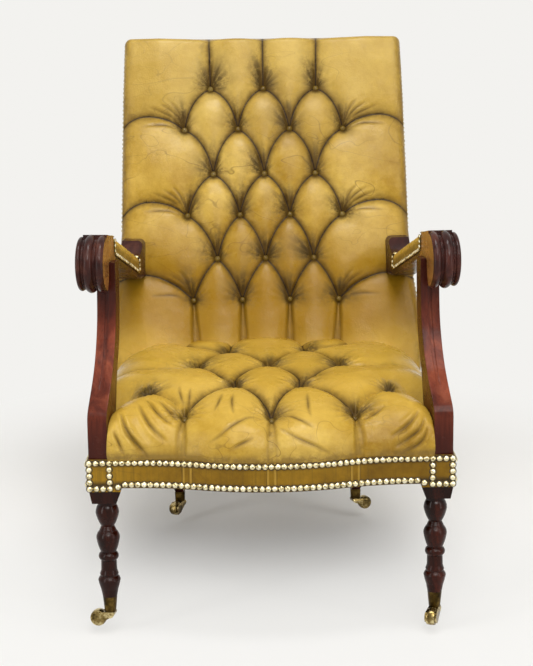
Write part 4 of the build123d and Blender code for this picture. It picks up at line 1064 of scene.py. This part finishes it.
for side, label in ((-1, "left"), (1, "right")):
    build_pad(f"arm_pad_cover_{label}", f"arm_pad_{label}", side)
    pad_heads, bead_heads = [], []
    inward = arm_point(0, 0, -1, side) - arm_point(0, 0, 0, side)
    for out, face in ((PAD_IN - 0.1, inward), (PAD_OUT + 0.1, -inward)):
        for back in (PAD_FRONT + 6, PAD_REAR - 6):
            for rise in END_NAILS:
                level = pad_top(back) - PAD_HEIGHT + rise
                pad_heads.append((arm_point(back, level, out, side), face))
        for back in np.arange(PAD_FRONT + 16, PAD_REAR - 12, TRIM_PITCH):
            level = pad_top(back) - PAD_HEIGHT + TRIM_RISE
            bead_heads.append((arm_point(back, level, out, side), face))
    for out in np.linspace(PAD_IN + 6, PAD_OUT - 6, 4):
        for back in (PAD_FRONT + 5, PAD_REAR - 5):
            top_place = arm_point(back, pad_top(back) - 0.3, out, side)
            pad_heads.append((top_place, (0, -PAD_DROP, 1)))
    nails(f"arm_pad_nails_{label}", pad_heads, *SMALL_NAIL)
    nails(f"arm_pad_trim_{label}", bead_heads, *TRIM_NAIL)

# Nails along the bands and the back

FRAME_INNER, FRAME_OUTER = 284.0, 319.3
SIDE_TOP_ROW, REAR_TOP_ROW = 308.6, 306.0
PITCH, SMALL_PITCH = 11.1, 8.8
REAR_FACE, REAR_REACH = 598, 252
EDGE_SETBACK = 27
ARM_JOINT = (566, 650)


def slope(edge, at):
    return float(edge(at + 1, BAND_OUT) - edge(at - 1, BAND_OUT)) / 2


front_heads = []
for level, reach in ((BAND_TOP_ROW, FRAME_INNER), (RAIL_LOW_ROW, 257.0)):
    xs = np.linspace(-reach, reach, 241)
    line = np.stack([xs, front_edge(xs, BAND_OUT), np.full_like(xs, level)], axis=1)
    row = spaced(line, PITCH)
    for x, y, z in row[1:-1] if level == BAND_TOP_ROW else row:
        front_heads.append(((x, y, z), (slope(front_edge, x), -1, 0)))
# Each corner block has its frame of nails
for side in (-1, 1):
    front_heads.append(((side * 269.5, 0.0, 268.4), (0, -1, 0)))
    for x in np.linspace(FRAME_INNER, FRAME_OUTER, 4):
        for z in np.linspace(BAND_TOP_ROW, BLOCK_LOW_ROW, 5):
            if x in (FRAME_INNER, FRAME_OUTER) or z in (BAND_TOP_ROW, BLOCK_LOW_ROW):
                front_heads.append(((side * x, 0.0, z), (0, -1, 0)))
nails("front_nails", front_heads)

side_heads = []
ys = np.linspace(6, 590, 200)
for level in (SIDE_TOP_ROW, RAIL_LOW_ROW):
    line = np.stack([side_edge(ys, BAND_OUT), ys, np.full_like(ys, level)], axis=1)
    for x, y, z in spaced(line, PITCH):
        side_heads += [((side * x, y, z), (side, -slope(side_edge, y), 0)) for side in (-1, 1)]
nails("side_nails", side_heads)

rear_heads = []
for level in (REAR_TOP_ROW, RAIL_LOW_ROW):
    ends = [(-REAR_REACH, REAR_FACE, level), (REAR_REACH, REAR_FACE, level)]
    rear_heads += [(point, (0, 1, 0)) for point in spaced(ends, PITCH)]
nails("rear_nails", rear_heads)

edge_heads = []
for side in (-1, 1):
    for z in np.arange(330, 1036, SMALL_PITCH):
        if not ARM_JOINT[0] < z < ARM_JOINT[1]:
            place_on_side = (side * (back_half(z) + 0.4), back_y(z) + EDGE_SETBACK, z)
            edge_heads.append((place_on_side, (side, 0, 0)))
nails("back_edge_nails", edge_heads, *TRIM_NAIL)

# Stage, light and camera


def stage_material(name):
    """Paper that takes the chair's shadow nearby and has the photograph's even tone farther off."""
    n = Nodes(bpy.data.materials.new(name))
    n.fill(n.shader, Base_Color=(0.90, 0.895, 0.885), Roughness=0.95, Specular_IOR_Level=0.05)
    glow = n.fill(n.new("ShaderNodeEmission"), Color=PAPER_TONE)["Emission"]
    across, back, _ = n.axes()
    even = 0.0
    # Round each centre, a share of the even tone sets in between two distances in metres
    for centre, low, high, share in ((0.85, 0.50, 1.05, 0.72), (0.0, 0.7, 1.5, 0.28)):
        behind = n.math("SUBTRACT", back, centre)
        squares = (n.math("MULTIPLY", value, value) for value in (across, behind))
        away = n.math("SQRT", n.math("ADD", *squares))
        even = n.math("ADD", n.span(away, low, high, 0.0, share), even)
    factor = n.math("MULTIPLY", n.seen(), even)
    n.shown(factor, n.shader.outputs["BSDF"], glow, "Material Output")
    return n.owner


def build_stage():
    rise = [(-6, 0), (-2, 0), (2.0, 0), (3.4, 0.35), (4.2, 1.6), (4.3, 4), (4.3, 7)]
    bend, _ = smooth_curve(rise, 80)
    verts = [(x, y, z) for y, z in bend for x in (-9.0, 9.0)]
    paper = stage_material("studio_paper")
    floor = smooth_mesh("studio_floor", verts, grid_faces(len(bend), 2), paper)


build_stage()


def add_light(kind, name, location, target, **settings):
    data = bpy.data.lights.new(name, kind)
    for key, value in settings.items():
        setattr(data, key, value)
    aim = (Vector(target) - Vector(location)).to_track_quat("-Z", "Y")
    linked(name, data).matrix_world = Matrix.Translation(location) @ aim.to_matrix().to_4x4()


SKY_TINT = (1.0, 0.985, 0.95)
sky = {"energy": 1.5, "color": SKY_TINT, "angle": math.radians(42)}
add_light("SUN", "sky_light", (0.3, -1.9, 2.2), (0, 0, 0), **sky)
# Place, target, power, width and height of each panel
panels = {
    "front_light": ((0.4, -3.0, 2.3), (0, 0, 0.6), 16, 1.2, 0.5),
    "top_light": ((0, -0.7, 2.5), (0, -0.1, 0.4), 19, 0.9, 0.5),
    "strip_0": ((-1.7, -1.5, 1.1), (0, 0, 0.6), 12, 0.28, 2.2),
    "strip_2": ((1.7, -1.5, 1.1), (0, 0, 0.6), 10, 0.28, 2.2),
}
for name, (location, target, power, width, height) in panels.items():
    form = {"energy": power, "shape": "RECTANGLE", "size": width, "size_y": height}
    add_light("AREA", name, location, target, **form)

world = bpy.data.worlds.new("studio")
bpy.context.scene.world = world
n = Nodes(world)
background = n.fill(n.tree.nodes["Background"], Color=SKY_TINT, Strength=0.25)["Background"]
# Camera and mirror rays see the paper's tone where the backdrop ends
paper = n.fill(n.new("ShaderNodeBackground"), Color=PAPER_TONE)["Background"]
n.shown(n.seen(), background, paper, "World Output")

# The camera as fitted to the photograph, from its height in pixels
PHOTO_HEIGHT, FOCAL_PIXELS, SENSOR = 666, 1458.49, 36
CAMERA_PLACE = (-30, -2472.35, 1000.49)
CAMERA_TURN = (0.57, 10.55, 0.70)
yaw, pitch, roll = (math.radians(angle) for angle in CAMERA_TURN)
view = Matrix.Translation(place(CAMERA_PLACE))
for angle, axis in ((-yaw, "Z"), (math.pi / 2 - pitch, "X"), (-roll, "Z")):
    view = view @ Matrix.Rotation(angle, 4, axis)
camera_data = bpy.data.cameras.new("photo_camera")
camera_data.sensor_fit = "VERTICAL"
camera_data.sensor_height = SENSOR
camera_data.lens = FOCAL_PIXELS * SENSOR / PHOTO_HEIGHT
camera = linked("photo_camera", camera_data)
camera.matrix_world = view
bpy.context.scene.camera = camera
bpy.context.scene.view_settings.view_transform = "Standard"
